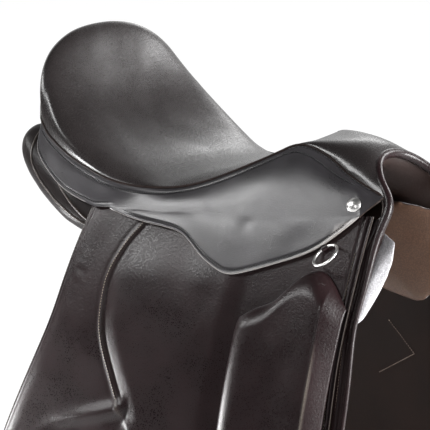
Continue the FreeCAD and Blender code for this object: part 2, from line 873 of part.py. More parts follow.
# ---- arch roll, lining, cantle facing
rollRadius = 4.6
rollLine = [(210, 0, 139.5), (213, -15, 136.5), (220, -30, 128.5), (231, -44, 118.5), (242.5, -55, 107.5),
            (248.5, -62, 97), (250, -67, 84)]


def archRoll():
    right = [Vec(*point) for point in rollLine]
    left = [Vec(point.x, -point.y, point.z) for point in reversed(right[1:])]
    path = splineThrough(left + right, range(len(left) + len(right)))

    def place(row, turn):
        along = path.tangent(row)[0]
        side = along.cross(Vec(1, 0, 0)).normalize()
        return path.value(row) + (side * math.cos(turn) + along.cross(side) * math.sin(turn)) * rollRadius

    last = len(left) + len(right) - 1
    return tube(place, spread(0, last, 2 * last + 1), spread(0, 2 * math.pi, 11))


liningFront = rail([(207, 0, 133), (211, -16, 129.5), (218, -29, 121.5), (227, -41, 111), (235, -49, 101)])
liningRear = rail([(0, -out, up) for out, up in
                   offsetLine(headInnerLine, 2 * sameBodyGap + gulletPlateThickness + 0.6)[:5]])


def liningPoint(back, side, drop):
    share = abs(side)
    far = liningRear.value(share * 3.1)
    down = Vec(0, -far.y * 0.9, -60).normalize()
    curve = Part.BSplineCurve()
    curve.buildFromPoles([liningFront.value(share * 4), far + Vec(headFrontX + 2, 0, 0),
                          far + Vec(headFrontX - 10, 0, 0), far + Vec(headRearX, 0, 0)], False, 2)
    point = curve.value(back) + down * drop
    return Vec(point.x, -point.y if side > 0 else point.y, point.z)


def gulletLining():
    return slab(lambda row, column: liningPoint(row, column, 0),
                lambda row, column: liningPoint(row, column, liningThickness),
                spread(0, 1, 6), spread(-1, 1, 17))


facingDrop = 1.2
facingLow = [Vec(-229, 0, 152), Vec(-227, -70, 150), Vec(-216, -110, 134), Vec(-206, -119, 122)]


def facingPoint(down, side, depth):
    top = seatTop(0, side)
    top = Vec(top.x, top.y, top.z - facingDrop)
    low = bezier(facingLow, abs(side))
    low = Vec(low.x, -low.y if side > 0 else low.y, low.z)
    point = top + (low - top) * down
    return point + Vec(depth, 0, 0)


def cantleFacing():
    return slab(lambda row, column: facingPoint(row, column, 0),
                lambda row, column: facingPoint(row, column, facingThickness),
                (0, 1), spread(-0.9, 0.9, 17))


# ---- pockets that hold the tree points
pocketTopZ = 62.0
pocketWall = 1.1


def pocketBlock(grow, longer):
    outer = offsetLine(headOuterLine, -grow)
    inner = offsetLine(headInnerLine, grow)
    for line in (outer, inner):
        (x, z), (endX, endZ) = line[-2:]
        share = longer / math.hypot(endX - x, endZ - z)
        line.append((endX + (endX - x) * share, endZ + (endZ - z) * share))
    return archSlab(outer, inner, headRearX - grow, headFrontX + grow)


def pointPocket():
    cup = pocketBlock(2 * sameBodyGap + pocketWall, sameBodyGap + pocketWall)
    hollow = pocketBlock(2 * sameBodyGap, sameBodyGap)
    window = Part.makeBox(120, 100, 60, Vec(headRearX - 20, -110, pocketTopZ - 60))
    return cup.cut(hollow).common(window)


# ---- write one file per piece
def build():
    save(seatCover(), "seat_cover")
    save(seatFoam(), "seat_foam")
    save(seatWebbing(), "seat_webbing")
    save(treeCantle(), "tree_cantle")
    save(springSteels(), "spring_steels")
    holes = rivetHoles()
    save(treeHead().cut(holes).cut(mirrored(holes)), "tree_head")
    save(headPlate(), "head_plate")
    save(gulletPlate().cut(holes).cut(mirrored(holes)), "gullet_plate")
    save(gulletLining(), "gullet_lining")
    save(cantleFacing(), "cantle_facing")
    save(archRoll(), "arch_roll")
    save(girthWebbing(frontBilletX), "front_girth_webbing")
    save(girthWebbing(rearBilletX), "rear_girth_webbing")
    rivets = barRivets()
    save(Part.makeCompound([rivets, mirrored(rivets)]), "bar_rivets")
    nail = saddleNail()
    save(Part.makeCompound([nail, mirrored(nail)]), "saddle_nails")
    savePair(treeRail(), "tree_rail")
    savePair(skirtBand().cut(nailHole()), "skirt_band")
    savePair(skirtLeaf(), "skirt_leaf")
    savePair(flap(), "flap")
    savePair(kneeBlock(), "knee_block")
    savePair(sweatFlap(), "sweat_flap")
    savePair(panel(), "panel")
    savePair(stirrupBar(), "stirrup_bar")
    savePair(barLatch(), "bar_latch")
    savePair(latchPin(), "latch_pin")
    savePair(billet(frontBilletX), "front_billet")
    savePair(billet(rearBilletX), "rear_billet")
    savePair(frontRing(), "front_ring")
    savePair(ringChape(), "ring_chape")
    savePair(pointPocket(), "point_pocket")


if __name__ == "__main__":
    build()
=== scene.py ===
import bpy
import bmesh
import math
import numpy as np
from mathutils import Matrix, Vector, noise
from mathutils.bvhtree import BVHTree


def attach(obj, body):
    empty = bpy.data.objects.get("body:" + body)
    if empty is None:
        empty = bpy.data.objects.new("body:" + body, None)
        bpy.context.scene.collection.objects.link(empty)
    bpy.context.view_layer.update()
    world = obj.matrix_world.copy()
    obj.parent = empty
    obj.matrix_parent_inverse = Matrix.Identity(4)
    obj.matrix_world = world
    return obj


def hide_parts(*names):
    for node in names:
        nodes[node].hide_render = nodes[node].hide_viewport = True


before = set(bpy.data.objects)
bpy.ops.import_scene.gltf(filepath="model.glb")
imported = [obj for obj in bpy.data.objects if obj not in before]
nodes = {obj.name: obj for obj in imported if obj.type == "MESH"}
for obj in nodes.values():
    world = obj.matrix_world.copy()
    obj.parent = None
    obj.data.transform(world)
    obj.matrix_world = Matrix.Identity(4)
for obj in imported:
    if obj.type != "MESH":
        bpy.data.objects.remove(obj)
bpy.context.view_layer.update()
mm = 0.001
print("frame loaded:", len(nodes), "nodes")


# ---- smooth lines through a few points, in millimetres as on the bench
def railOf(points):
    spots = np.array(points, float)
    count = len(spots)
    if count == 2:
        return lambda t: Vector(spots[0] + (spots[1] - spots[0]) * t)
    system = np.zeros((count, count))
    right = np.zeros_like(spots)
    system[0, 0] = system[-1, -1] = 1
    right[0] = (-3 * spots[0] + 4 * spots[1] - spots[2]) / 2
    right[-1] = (3 * spots[-1] - 4 * spots[-2] + spots[-3]) / 2
    for i in range(1, count - 1):
        system[i, i - 1:i + 2] = 1, 4, 1
        right[i] = 3 * (spots[i + 1] - spots[i - 1])
    slopes = np.linalg.solve(system, right)

    def at(t):
        i = min(max(int(t), 0), count - 2)
        f = t - i
        a, b = spots[i], spots[i + 1]
        return Vector((2 * f**3 - 3 * f**2 + 1) * a + (f**3 - 2 * f**2 + f) * slopes[i]
                      + (3 * f**2 - 2 * f**3) * b + (f**3 - f**2) * slopes[i + 1])
    return at


def evenRail(points, samples=200):
    # the same line, but its parameter runs evenly from 0 to 1 by length
    line = railOf(points)
    last = len(points) - 1
    dense = [line(last * i / samples) for i in range(samples + 1)]
    lengths = np.cumsum([0] + [(b - a).length for a, b in zip(dense, dense[1:])])
    lengths /= lengths[-1]
    return lambda t: line(last * float(np.interp(t, lengths, np.linspace(0, 1, samples + 1))))


def lerp(a, b, t):
    return a + (b - a) * t


def smooth(low, high, value):
    t = min(1.0, max(0.0, (value - low) / (high - low)))
    return t * t * (3 - 2 * t)


def bump(value, centre, width):
    return math.exp(-((value - centre) / width) ** 2)


def bezier(points, t):
    while len(points) > 1:
        points = [lerp(a, b, t) for a, b in zip(points, points[1:])]
    return points[0]


def flipped(point):
    return Vector((point.x, -point.y, point.z))


def linked(name, data):
    made = bpy.data.objects.new(name, data)
    bpy.context.scene.collection.objects.link(made)
    return made


def rework(mesh, work):
    # opens a mesh for editing, lets work change it, and writes it back
    shell = bmesh.new()
    shell.from_mesh(mesh)
    work(shell)
    shell.to_mesh(mesh)
    shell.free()


# ---- shader maths: one small class wraps a socket
class Wire:
    def __init__(self, tree, socket):
        self.tree = tree
        self.socket = socket

    def node(self, kind, settings=None, **values):
        made = self.tree.nodes.new(kind)
        for key, value in (settings or {}).items():
            if key == "stops":
                ramp = made.color_ramp
                while len(ramp.elements) < len(value):
                    ramp.elements.new(0.5)
                for element, (place, colour) in zip(ramp.elements, value):
                    element.position = place
                    element.color = colour
            else:
                setattr(made, key, value)
        for key, value in values.items():
            name = key.replace("_", " ")
            place = int(key[1:]) if key[0] == "i" and key[1:].isdigit() else name
            if isinstance(value, Wire):
                self.tree.links.new(value.socket, made.inputs[place])
            else:
                made.inputs[place].default_value = value
        return made

    def out(self, made, name=0):
        return Wire(self.tree, made.outputs[name])

    def math(self, operation, *others):
        made = self.tree.nodes.new("ShaderNodeMath")
        made.operation = operation
        for place, value in enumerate(others):
            if isinstance(value, Wire):
                self.tree.links.new(value.socket, made.inputs[place])
            else:
                made.inputs[place].default_value = value
        return Wire(self.tree, made.outputs[0])

    def __add__(self, other):
        return self.math("ADD", self, other)

    def __radd__(self, other):
        return self.math("ADD", other, self)

    def __sub__(self, other):
        return self.math("SUBTRACT", self, other)

    def __rsub__(self, other):
        return self.math("SUBTRACT", other, self)

    def __mul__(self, other):
        return self.math("MULTIPLY", self, other)

    def __rmul__(self, other):
        return self.math("MULTIPLY", other, self)

    def __pow__(self, other):
        return self.math("POWER", self, other)

    def clamp(self, low, high):
        return self.math("MINIMUM", self.math("MAXIMUM", self, low), high)

    def step(self, low, high):
        # 0 below low, 1 above high, smooth between
        made = self.node("ShaderNodeMapRange", {"interpolation_type": "SMOOTHSTEP"},
                         Value=self, From_Min=low, From_Max=high)
        return self.out(made)


def newMaterial(name):
    material = bpy.data.materials.new(name)
    material.use_nodes = True
    tree = material.node_tree
    shader = tree.nodes["Principled BSDF"]
    coordinate = tree.nodes.new("ShaderNodeTexCoord")
    return material, shader, Wire(tree, coordinate.outputs["Object"])


def feed(shader, name, wire):
    wire.tree.links.new(wire.socket, shader.inputs[name])


def bumped(shader, height, strength, depth):
    feed(shader, "Normal", height.out(height.node("ShaderNodeBump", None, Strength=strength, Distance=depth,
                                                  Height=height)))


def mixColours(wire, factor, first, second):
    made = wire.node("ShaderNodeMix", {"data_type": "RGBA"}, i0=factor, i6=first, i7=second)
    return wire.out(made, 2)


def noiseOf(place, scale, detail=3.0, roughness=0.55):
    made = place.node("ShaderNodeTexNoise", None, Vector=place, Scale=scale, Detail=detail, Roughness=roughness)
    return place.out(made, 0)


def rgba(colour):
    return (*colour, 1.0)


def leather(name, look):
    # pebbled grain, faint mottling, and a lighter colour from the piece's own per-point attribute: polished rubbed
    # places, and on some pieces painted highlights along edges and creases
    material, shader, place = newMaterial(name)
    cells = place.out(place.node("ShaderNodeTexVoronoi", {"feature": "SMOOTH_F1"}, Vector=place,
                                 Scale=look["grain"], Randomness=1.0, Smoothness=0.3), 0)
    pores = noiseOf(place, look["grain"] * 2.7, 2.0)
    broad = noiseOf(place, look["patch"], 4.0, 0.6)
    creases = noiseOf(place, look["grain"] * 0.22, 3.0, 0.5)
    wear = place.out(place.node("ShaderNodeAttribute", {"attribute_name": "wear"}), "Fac")
    tint = mixColours(place, broad.step(0.35, 0.68), rgba(look["deep"]), rgba(look["colour"]))
    if "inside" in look:
        inside = place.out(place.node("ShaderNodeAttribute", {"attribute_name": "inner"}), "Fac")
        # the second attribute paints a pale reflection onto the front point of the panels
        gusset = place.out(place.node("ShaderNodeAttribute", {"attribute_name": "gusset"}), "Fac")
        tint = mixColours(place, inside, tint, rgba(look["inside"]))
        tint = mixColours(place, gusset, tint, rgba(look["gusset"]))
    tint = mixColours(place, (cells * 1.6).clamp(0, 1) * look["cellTint"], tint, rgba(look["pore"]))
    # mixed towards the pale worn colour: rubbed places, and painted highlights where a piece paints them
    tint = mixColours(place, wear * look["wearAndSheenAmount"], tint, rgba(look["wornAndSheen"]))
    feed(shader, "Base Color", tint)
    rough = look["rough"] + (broad - 0.5) * look["roughPatch"] + (cells - 0.4) * 0.15 - wear * look["wearShine"]
    feed(shader, "Roughness", rough.clamp(0.08, 0.9))
    height = (1 - cells) * 0.3 + noiseOf(place, look["grain"] * 0.8, 2.0) * 0.7 + pores * 0.25 + creases * 0.06
    bumped(shader, height, look["bump"], look["depth"])
    shader.inputs["Specular IOR Level"].default_value = look["specular"]
    return material


# each leather gives what differs from the plain one
plainLeather = dict(cellTint=0.35, wearAndSheenAmount=0.6, wearShine=0.1, roughPatch=0.14, bump=0.4, depth=0.0005,
                    specular=0.5)
leathers = {
    "seatLeather": dict(colour=(0.024, 0.02, 0.02), deep=(0.017, 0.014, 0.014), pore=(0.01, 0.009, 0.009),
                        wornAndSheen=(0.1, 0.09, 0.08), grain=560.0, patch=16.0, rough=0.27, roughPatch=0.12,
                        wearShine=0.05, bump=0.35, depth=0.0004),
    # its pale worn colour also paints a highlight line along the skirt's edges
    "skirtLeather": dict(colour=(0.032, 0.029, 0.033), deep=(0.02, 0.018, 0.02), pore=(0.02, 0.019, 0.021),
                         wornAndSheen=(0.36, 0.34, 0.33), grain=760.0, patch=24.0, rough=0.33, roughPatch=0.18,
                         wearAndSheenAmount=0.9, bump=0.34, depth=0.0004, specular=0.7),
    # its worn colour also paints the highlight on the knee-block crease and along the sweat flaps' edges
    "flapLeather": dict(colour=(0.018, 0.0085, 0.0095), deep=(0.01, 0.0046, 0.0054), pore=(0.008, 0.005, 0.005),
                        wornAndSheen=(0.16, 0.14, 0.12), grain=500.0, patch=14.0, rough=0.3, roughPatch=0.16,
                        cellTint=0.5, wearAndSheenAmount=0.8, bump=0.5, specular=0.27),
    # the near-white colour at the end is a painted reflection for the panel's front point
    "panelLeather": dict(colour=(0.03, 0.025, 0.025), deep=(0.016, 0.013, 0.013), pore=(0.01, 0.009, 0.009),
                         wornAndSheen=(0.11, 0.09, 0.08), inside=(0.1, 0.056, 0.037), gusset=(0.8, 0.79, 0.82),
                         grain=560.0, patch=13.0, rough=0.32, cellTint=0.4, wearAndSheenAmount=0.7, specular=0.12),
    "facingLeather": dict(colour=(0.03, 0.027, 0.027), deep=(0.018, 0.016, 0.016), pore=(0.01, 0.009, 0.009),
                          wornAndSheen=(0.11, 0.09, 0.08), grain=600.0, patch=30.0, rough=0.22, roughPatch=0.1,
                          cellTint=0.3, wearAndSheenAmount=0.5, bump=0.25, depth=0.0004),
    "innerLeather": dict(colour=(0.009, 0.005, 0.004), deep=(0.005, 0.003, 0.0025), pore=(0.018, 0.011, 0.009),
                         wornAndSheen=(0.13, 0.09, 0.07), grain=420.0, patch=11.0, rough=0.62, wearShine=0.05,
                         specular=0.06),
    "liningLeather": dict(colour=(0.022, 0.012, 0.01), deep=(0.015, 0.009, 0.008), pore=(0.01, 0.006, 0.005),
                          wornAndSheen=(0.07, 0.05, 0.04), grain=520.0, patch=18.0, rough=0.55, wearShine=0.05,
                          specular=0.15),
    "pipingLeather": dict(colour=(0.085, 0.07, 0.062), deep=(0.05, 0.04, 0.036), pore=(0.02, 0.016, 0.014),
                          wornAndSheen=(0.2, 0.17, 0.15), grain=700.0, patch=60.0, rough=0.32, roughPatch=0.1,
                          cellTint=0.3, wearShine=0.05, depth=0.0003),
    "edgeLeather": dict(colour=(0.07, 0.048, 0.038), deep=(0.03, 0.022, 0.019), pore=(0.014, 0.01, 0.009),
                        wornAndSheen=(0.3, 0.27, 0.24), grain=900.0, patch=40.0, rough=0.3, roughPatch=0.1, cellTint=0.4,
                        wearAndSheenAmount=0.9, bump=0.3, depth=0.0003, specular=0.6),
}
finish = {name: leather(name, {**plainLeather, **look}) for name, look in leathers.items()}


def threadMaterial(name, colour):
    material, shader, place = newMaterial(name)
    twist = noiseOf(place, 2600.0, 1.0)
    tint = mixColours(place, twist, rgba([c * 0.55 for c in colour]), rgba(colour))
    feed(shader, "Base Color", tint)
    bumped(shader, twist, 0.6, 0.0002)
    shader.inputs["Roughness"].default_value = 0.62
    return material


finish["darkThread"] = threadMaterial("darkThread", (0.012, 0.012, 0.013))
finish["paleThread"] = threadMaterial("paleThread", (0.26, 0.22, 0.17))
finish["brownThread"] = threadMaterial("brownThread", (0.17, 0.125, 0.095))


def metalMaterial(name, colour, rough, scratch):
    material, shader, place = newMaterial(name)
    marks = noiseOf(place, scratch, 5.0, 0.7)
    tint = mixColours(place, marks.step(0.3, 0.75), rgba(colour), rgba([c * 0.72 for c in colour]))
    feed(shader, "Base Color", tint)
    feed(shader, "Roughness", (marks * 0.16 + (rough - 0.06)).clamp(0.05, 0.9))
    bumped(shader, marks, 0.05, 0.00005)
    shader.inputs["Metallic"].default_value = 1.0
    return material


finish["nickel"] = metalMaterial("nickel", (0.86, 0.85, 0.83), 0.30, 300.0)
finish["steel"] = metalMaterial("steel", (0.50, 0.51, 0.52), 0.34, 420.0)


def weaveMaterial(name, colour, deep, scale):
    material, shader, place = newMaterial(name)
    flat = place.node("ShaderNodeTexWave", {"wave_type": "BANDS", "bands_direction": "X"}, Vector=place,
                      Scale=scale, Distortion=0.6, Detail=1.0)
    steep = place.node("ShaderNodeTexWave", {"wave_type": "BANDS", "bands_direction": "Y"}, Vector=place,
                       Scale=scale, Distortion=0.6, Detail=1.0)
    weave = place.out(flat, 1) * place.out(steep, 1)
    feed(shader, "Base Color", mixColours(place, weave, rgba(deep), rgba(colour)))
    bumped(shader, weave, 0.5, 0.0004)
    shader.inputs["Roughness"].default_value = 0.85
    return material


finish["webbing"] = weaveMaterial("webbing", (0.62, 0.57, 0.46), (0.36, 0.32, 0.25), 260.0)


def woodMaterial(name):
    material, shader, place = newMaterial(name)
    stretched = place.out(place.node("ShaderNodeMapping", None, Vector=place, Scale=(6.0, 60.0, 60.0)))
    rings = noiseOf(stretched, 6.0, 4.0)
    tint = mixColours(place, rings.step(0.3, 0.7), rgba((0.34, 0.20, 0.10)), rgba((0.60, 0.41, 0.23)))
    feed(shader, "Base Color", tint)
    bumped(shader, rings, 0.2, 0.0003)
    shader.inputs["Roughness"].default_value = 0.42
    return material


finish["beech"] = woodMaterial("beech")
print("materials ready:", len(finish))


# ---- making and finishing pieces
roster = []


def dress(piece, body, slot=None, stands=(), fill=None):
    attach(piece, body)
    if stands:
        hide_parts(*stands)
    roster.append((piece, body, slot, stands, fill))


def pieceFrom(shell, name, material):
    mesh = bpy.data.meshes.new(name)
    shell.to_mesh(mesh)
    shell.free()
    mesh.polygons.foreach_set("use_smooth", [True] * len(mesh.polygons))
    piece = linked(name, mesh)
    for one in (material if isinstance(material, list) else [material]):
        mesh.materials.append(finish[one])
    return piece


def gridPiece(name, place, steps, material, flip=False, wear=None, weld=False):
    # a flat grid laid onto a surface; place takes two shares from 0 to 1 and gives millimetres
    shell = bmesh.new()
    bmesh.ops.create_grid(shell, x_segments=steps[0], y_segments=steps[1], size=0.5)
    uv = shell.loops.layers.uv.new("UVMap")
    # per-point share of the lighter worn colour: rubbed places, and on some pieces a painted highlight
    wornAndSheen = shell.verts.layers.float.new("wear")
    shares = {corner.index: (corner.co.x + 0.5, corner.co.y + 0.5) for corner in shell.verts}
    for corner in shell.verts:
        a, b = shares[corner.index]
        corner.co = place(a, b) * mm
        corner[wornAndSheen] = wear(a, b) if wear else 0.0
    for face in shell.faces:
        for loop in face.loops:
            loop[uv].uv = shares[loop.vert.index]
    if weld:
        bmesh.ops.remove_doubles(shell, verts=shell.verts[:], dist=0.00002)
    if flip:
        bmesh.ops.reverse_faces(shell, faces=shell.faces[:])
    return pieceFrom(shell, name, material)


def thicken(piece, thickness, edge=0.0, rim=0, inner=0):
    solid = piece.modifiers.new("Solidify", "SOLIDIFY")
    solid.thickness = thickness * mm
    solid.offset = -1.0
    solid.material_offset_rim = rim
    solid.material_offset = inner
    if edge:
        rounded = piece.modifiers.new("Bevel", "BEVEL")
        rounded.width = edge * mm
        rounded.segments = 3
        rounded.limit_method = "ANGLE"
        rounded.angle_limit = math.radians(50)
        rounded.harden_normals = True


def tubePiece(name, line, normal, radius, steps, material, sides=12, flatten=1.0):
    # piping along line(t) with its back towards normal(t), closed to a rounded tip at each end
    def place(a, b):
        centre = line(b)
        along = (line(min(1, b + 0.004)) - line(max(0, b - 0.004))).normalized()
        up = normal(b)
        up = (up - along * up.dot(along)).normalized()
        side = along.cross(up)
        tip = min(1.0, min(b, 1 - b) * steps / 2.0)
        size = (radius(b) if callable(radius) else radius) * math.sqrt(max(0.0, 1 - (1 - tip) ** 2))
        turn = a * 2 * math.pi
        return centre + up * (math.sin(turn) * size * flatten) + side * math.cos(turn) * size
    return gridPiece(name, place, (sides, steps), material, weld=True)


def stitchRow(name, line, normal, material, pitch=3.3, length=2.5, width=0.75, lift=0.1):
    # one thread lens for each stitch, spaced evenly along the line
    samples = 300
    dense = [line(i / samples) for i in range(samples + 1)]
    lengths = np.cumsum([0] + [(b - a).length for a, b in zip(dense, dense[1:])])
    row = bmesh.new()
    for index in range(int(lengths[-1] / pitch)):
        t = float(np.interp((index + 0.5) * pitch, lengths, np.linspace(0, 1, samples + 1)))
        centre = line(t)
        along = (line(min(1, t + 0.003)) - line(max(0, t - 0.003))).normalized()
        up = normal(t)
        up = (up - along * up.dot(along)).normalized()
        side = along.cross(up)
        made = bmesh.ops.create_uvsphere(row, u_segments=6, v_segments=4, radius=1.0)["verts"]
        for corner in made:
            x, y, z = corner.co
            corner.co = (centre + along * z * length / 2 + side * x * width / 2
                         + up * (y * width / 2 + lift)) * mm
    bmesh.ops.recalc_face_normals(row, faces=row.faces[:])
    return pieceFrom(row, name, material)


def turnOver(shell):
    for corner in shell.verts:
        corner.co.y = -corner.co.y
    bmesh.ops.reverse_faces(shell, faces=shell.faces[:])


def mirrorRightPieces():
    # every piece of the right side again on the left, faces turned back outwards
    for piece, body, slot, stands, fill in list(roster):
        if not piece.name.endswith("_right"):
            continue
        mesh = piece.data.copy()
        rework(mesh, turnOver)
        left = linked(piece.name.replace("_right", "_left"), mesh)
        for old in piece.modifiers:
            new = left.modifiers.new(old.name, old.type)
            for setting in old.bl_rna.properties:
                if not setting.is_readonly:
                    setattr(new, setting.identifier, getattr(old, setting.identifier))
        dress(left, body.replace("_right", "_left"), slot, [node.replace("_right", "_left") for node in stands],
              fill)


# ---- the seat's three design lines, from the back of the cantle to the arch
seatForm = dict(
    crest=[(-239, 0, 218), (-238, 0, 235), (-229, 0, 244), (-216, 0, 236), (-190, 0, 194), (-156, 0, 149),
           (-110, 0, 114), (-60, 0, 98), (-5, 0, 96), (45, 0, 113), (88, 0, 132.5), (120, 0, 145.5), (146, 0, 151),
           (171, 0, 153), (191, 0, 149.8), (206, 0, 143)],
    shoulder=[(-219, -112, 190), (-215, -127, 204), (-207, -136, 210), (-197, -138, 203), (-184, -147, 188),
              (-160, -158, 160), (-116, -156, 122), (-66, -135, 93.5), (-14, -105, 89), (36, -81.5, 106.5),
              (76, -64, 127.5), (102, -50, 143), (122, -43, 150), (152, -43, 149), (186, -49, 140),
              (222, -50, 129)],
    seam=[(-200, -131, 147), (-197, -133, 144), (-193, -134, 140), (-187, -136, 134), (-176, -138, 127),
          (-149, -139, 112), (-107, -134, 94), (-66, -122, 85), (-13, -103, 87), (36, -86, 104), (74, -69, 123),
          (99, -54, 137), (122, -42, 144.5), (162, -46, 135), (189, -52, 121.8), (241, -61, 107)],
    fullness=0.62, crowned=0.42, rows=200, columns=120, thickness=1.8, welt=1.6)
crestRail, shoulderRail, seamRail = (railOf(seatForm[key]) for key in ("crest", "shoulder", "seam"))
lastStation = len(seatForm["crest"]) - 1
seatProfiles = {}


def profileOf(station):
    # control points across the seat
    key = round(station, 4)
    if key not in seatProfiles:
        crest, shoulder = crestRail(station), shoulderRail(station)
        fullness = lerp(seatForm["fullness"], seatForm["crowned"], bump(station, 8.0, 2.2))
        easing = Vector((crest.x, shoulder.y * fullness, crest.z))
        seatProfiles[key] = [crest, easing, shoulder, seamRail(station)]
    return seatProfiles[key]


def seatPlain(station, side):
    point = bezier(profileOf(station), abs(side))
    return flipped(point) if side > 0 else point


def seatNormal(station, side):
    along = seatPlain(min(lastStation, station + 0.04), side) - seatPlain(max(0, station - 0.04), side)
    across = seatPlain(station, min(1, side + 0.02)) - seatPlain(station, max(-1, side - 0.02))
    return along.cross(across).normalized()


def seatAt(station, side):
    # soft dimples where the hide is drawn down to the welt, gathers on the nose, low swells elsewhere
    point, normal = seatPlain(station, side), seatNormal(station, side)
    near = abs(side)
    pull = smooth(0.84, 0.97, near)
    gather = noise.noise(Vector((station * 4.2, 7.0 if side > 0 else 2.0, near * 0.8))) * 0.5
    nose = smooth(12.0, 12.8, station) * (1 - smooth(14.2, 14.9, station))
    gather += nose * noise.noise(Vector((station * 21.0, 4.0, near))) * 1.2
    swell = noise.noise(point * 0.016) * 0.8 + noise.noise(point * 0.05) * 0.2
    calm = smooth(0.0, 0.12, 1 - near) * smooth(0.0, 0.5, lastStation - station)
    return point + normal * (pull * gather + swell * (1 - pull)) * calm


def seatHide():
    def place(a, b):
        return seatAt(lastStation * a, math.sin((b - 0.5) * math.pi))

    piece = gridPiece("seatHide", place, (seatForm["rows"], seatForm["columns"]), "seatLeather",
                      wear=lambda a, b: 0.2 * bump(lastStation * a, 1.4, 0.6))
    thicken(piece, seatForm["thickness"], edge=0.7)
    dress(piece, "saddle", "seat_leather", ["seat_cover", "seat_foam"], fill=0.9)

    def line(t):
        return seatAt(lerp(0.0, lastStation - 0.02, t), -0.998)

    def square(t):
        return seatNormal(lerp(0.0, lastStation - 0.02, t), -0.97)
    piece = tubePiece("seatWelt_right", line, square, seatForm["welt"], 260, "liningLeather", sides=10)
    dress(piece, "saddle")


seatHide()
print("seat done")


# ---- flap frame: a shallow arc swept along the bend line
flapForm = dict(front=Vector((205, -80, 84)), rear=Vector((-125, -138, 52)), top=27.5, bottom=8.0, length=400.0)
bendAlong = (flapForm["rear"] - flapForm["front"]).normalized()
bendOut = Vector((-bendAlong.y, bendAlong.x, 0)).normalized()
bendDown = bendOut.cross(bendAlong).normalized()
flareTop, flareBottom = math.radians(flapForm["top"]), math.radians(flapForm["bottom"])
flareRadius = flapForm["length"] / (flareTop - flareBottom)
if bendOut.y > 0 or bendDown.z > 0:
    raise ValueError("the flap frame has to point outwards and down")


def flapPoint(along, down, lift):
    angle = flareTop - down / flareRadius
    radius = flareRadius + lift
    return (flapForm["front"] + bendAlong * along
            + bendOut * (radius * math.cos(angle) - flareRadius * math.cos(flareTop))
            + bendDown * (flareRadius * math.sin(flareTop) - radius * math.sin(angle)))


def flapSpot(x, z, lift):
    along, down = 0.0, 0.0
    for turn in range(7):
        point = flapPoint(along, down, lift)
        along += (point.x - x) / -bendAlong.x
        down += (point.z - z) / -bendDown.z
    return along, down


def flapAt(x, z, lift):
    return flapPoint(*flapSpot(x, z, lift), lift)


def flapNormal(x, z):
    along, down = flapSpot(x, z, 0)
    return (flapPoint(along, down, 1) - flapPoint(along, down, 0)).normalized()


def patchOf(form):
    # a point inside four edge lines in side view: a runs rear to front, b runs top to bottom
    rear, front, bottom, top = (sideLine(form[key]) for key in ("rear", "front", "bottom", "top"))
    corners = [top(0), top(1), bottom(0), bottom(1)]
    rails = {}

    def known(key, line, t):
        spot = rails.get((key, t))
        if spot is None:
            spot = rails[(key, t)] = line(t)
        return spot

    def at(a, b):
        edge = (lerp(known("rear", rear, b), known("front", front, b), a)
                + lerp(known("top", top, a), known("bottom", bottom, a), b))
        twist = lerp(lerp(corners[0], corners[1], a), lerp(corners[2], corners[3], a), b)
        return edge - twist
    return at


def sideLine(points):
    return evenRail([(x, 0, z) for x, z in points])


def crowd(t, amount=0.4):
    # draws grid lines towards both edges
    return lerp(t, t * t * (3 - 2 * t), amount)


# ---- flaps
flapLook = dict(rear=[(-121.5, 52.3), (-129, 4), (-134, -40), (-140, -83), (-156, -146), (-172, -207),
                      (-182, -255)],
                front=[(238, 87), (238, 60), (238, 0), (239, -66), (243, -132), (243, -210), (236, -270)],
                bottom=[(-182, -255), (-160, -306), (-100, -333), (20, -340), (150, -333), (212, -312),
                        (236, -270)],
                top=[(-121.5, 52.3), (238, 87)],
                seam=[(-38, 54), (-43, 43), (-54, 27), (-64, 5), (-70, -20), (-68, -51), (-61, -79), (-45, -109),
                      (-27, -139), (-13, -162)],
                thickness=3.4, padding=3.4, border=2.6, rearRoll=4.5, hem=12.0, foldRidge=5.4, foldGroove=1.4,
                cord=1.5, columns=180, rows=160, width=375.0)
flapPatch = patchOf(flapLook)
flapSeam = sideLine(flapLook["seam"])
seamSpots = [flapSeam(i / 60) for i in range(61)]


def fromSeam(x, z):
    # distance from the piped seam in side view: positive towards the knee
    best, sign = 1e9, 1
    for a, b in zip(seamSpots, seamSpots[1:]):
        runX, runZ = b.x - a.x, b.z - a.z
        t = min(1, max(0, ((x - a.x) * runX + (z - a.z) * runZ) / (runX ** 2 + runZ ** 2)))
        dx, dz = x - a.x - runX * t, z - a.z - runZ * t
        far = math.hypot(dx, dz)
        if far < best:
            best, sign = far, 1 if runX * dz - runZ * dx > 0 else -1
    return best * sign


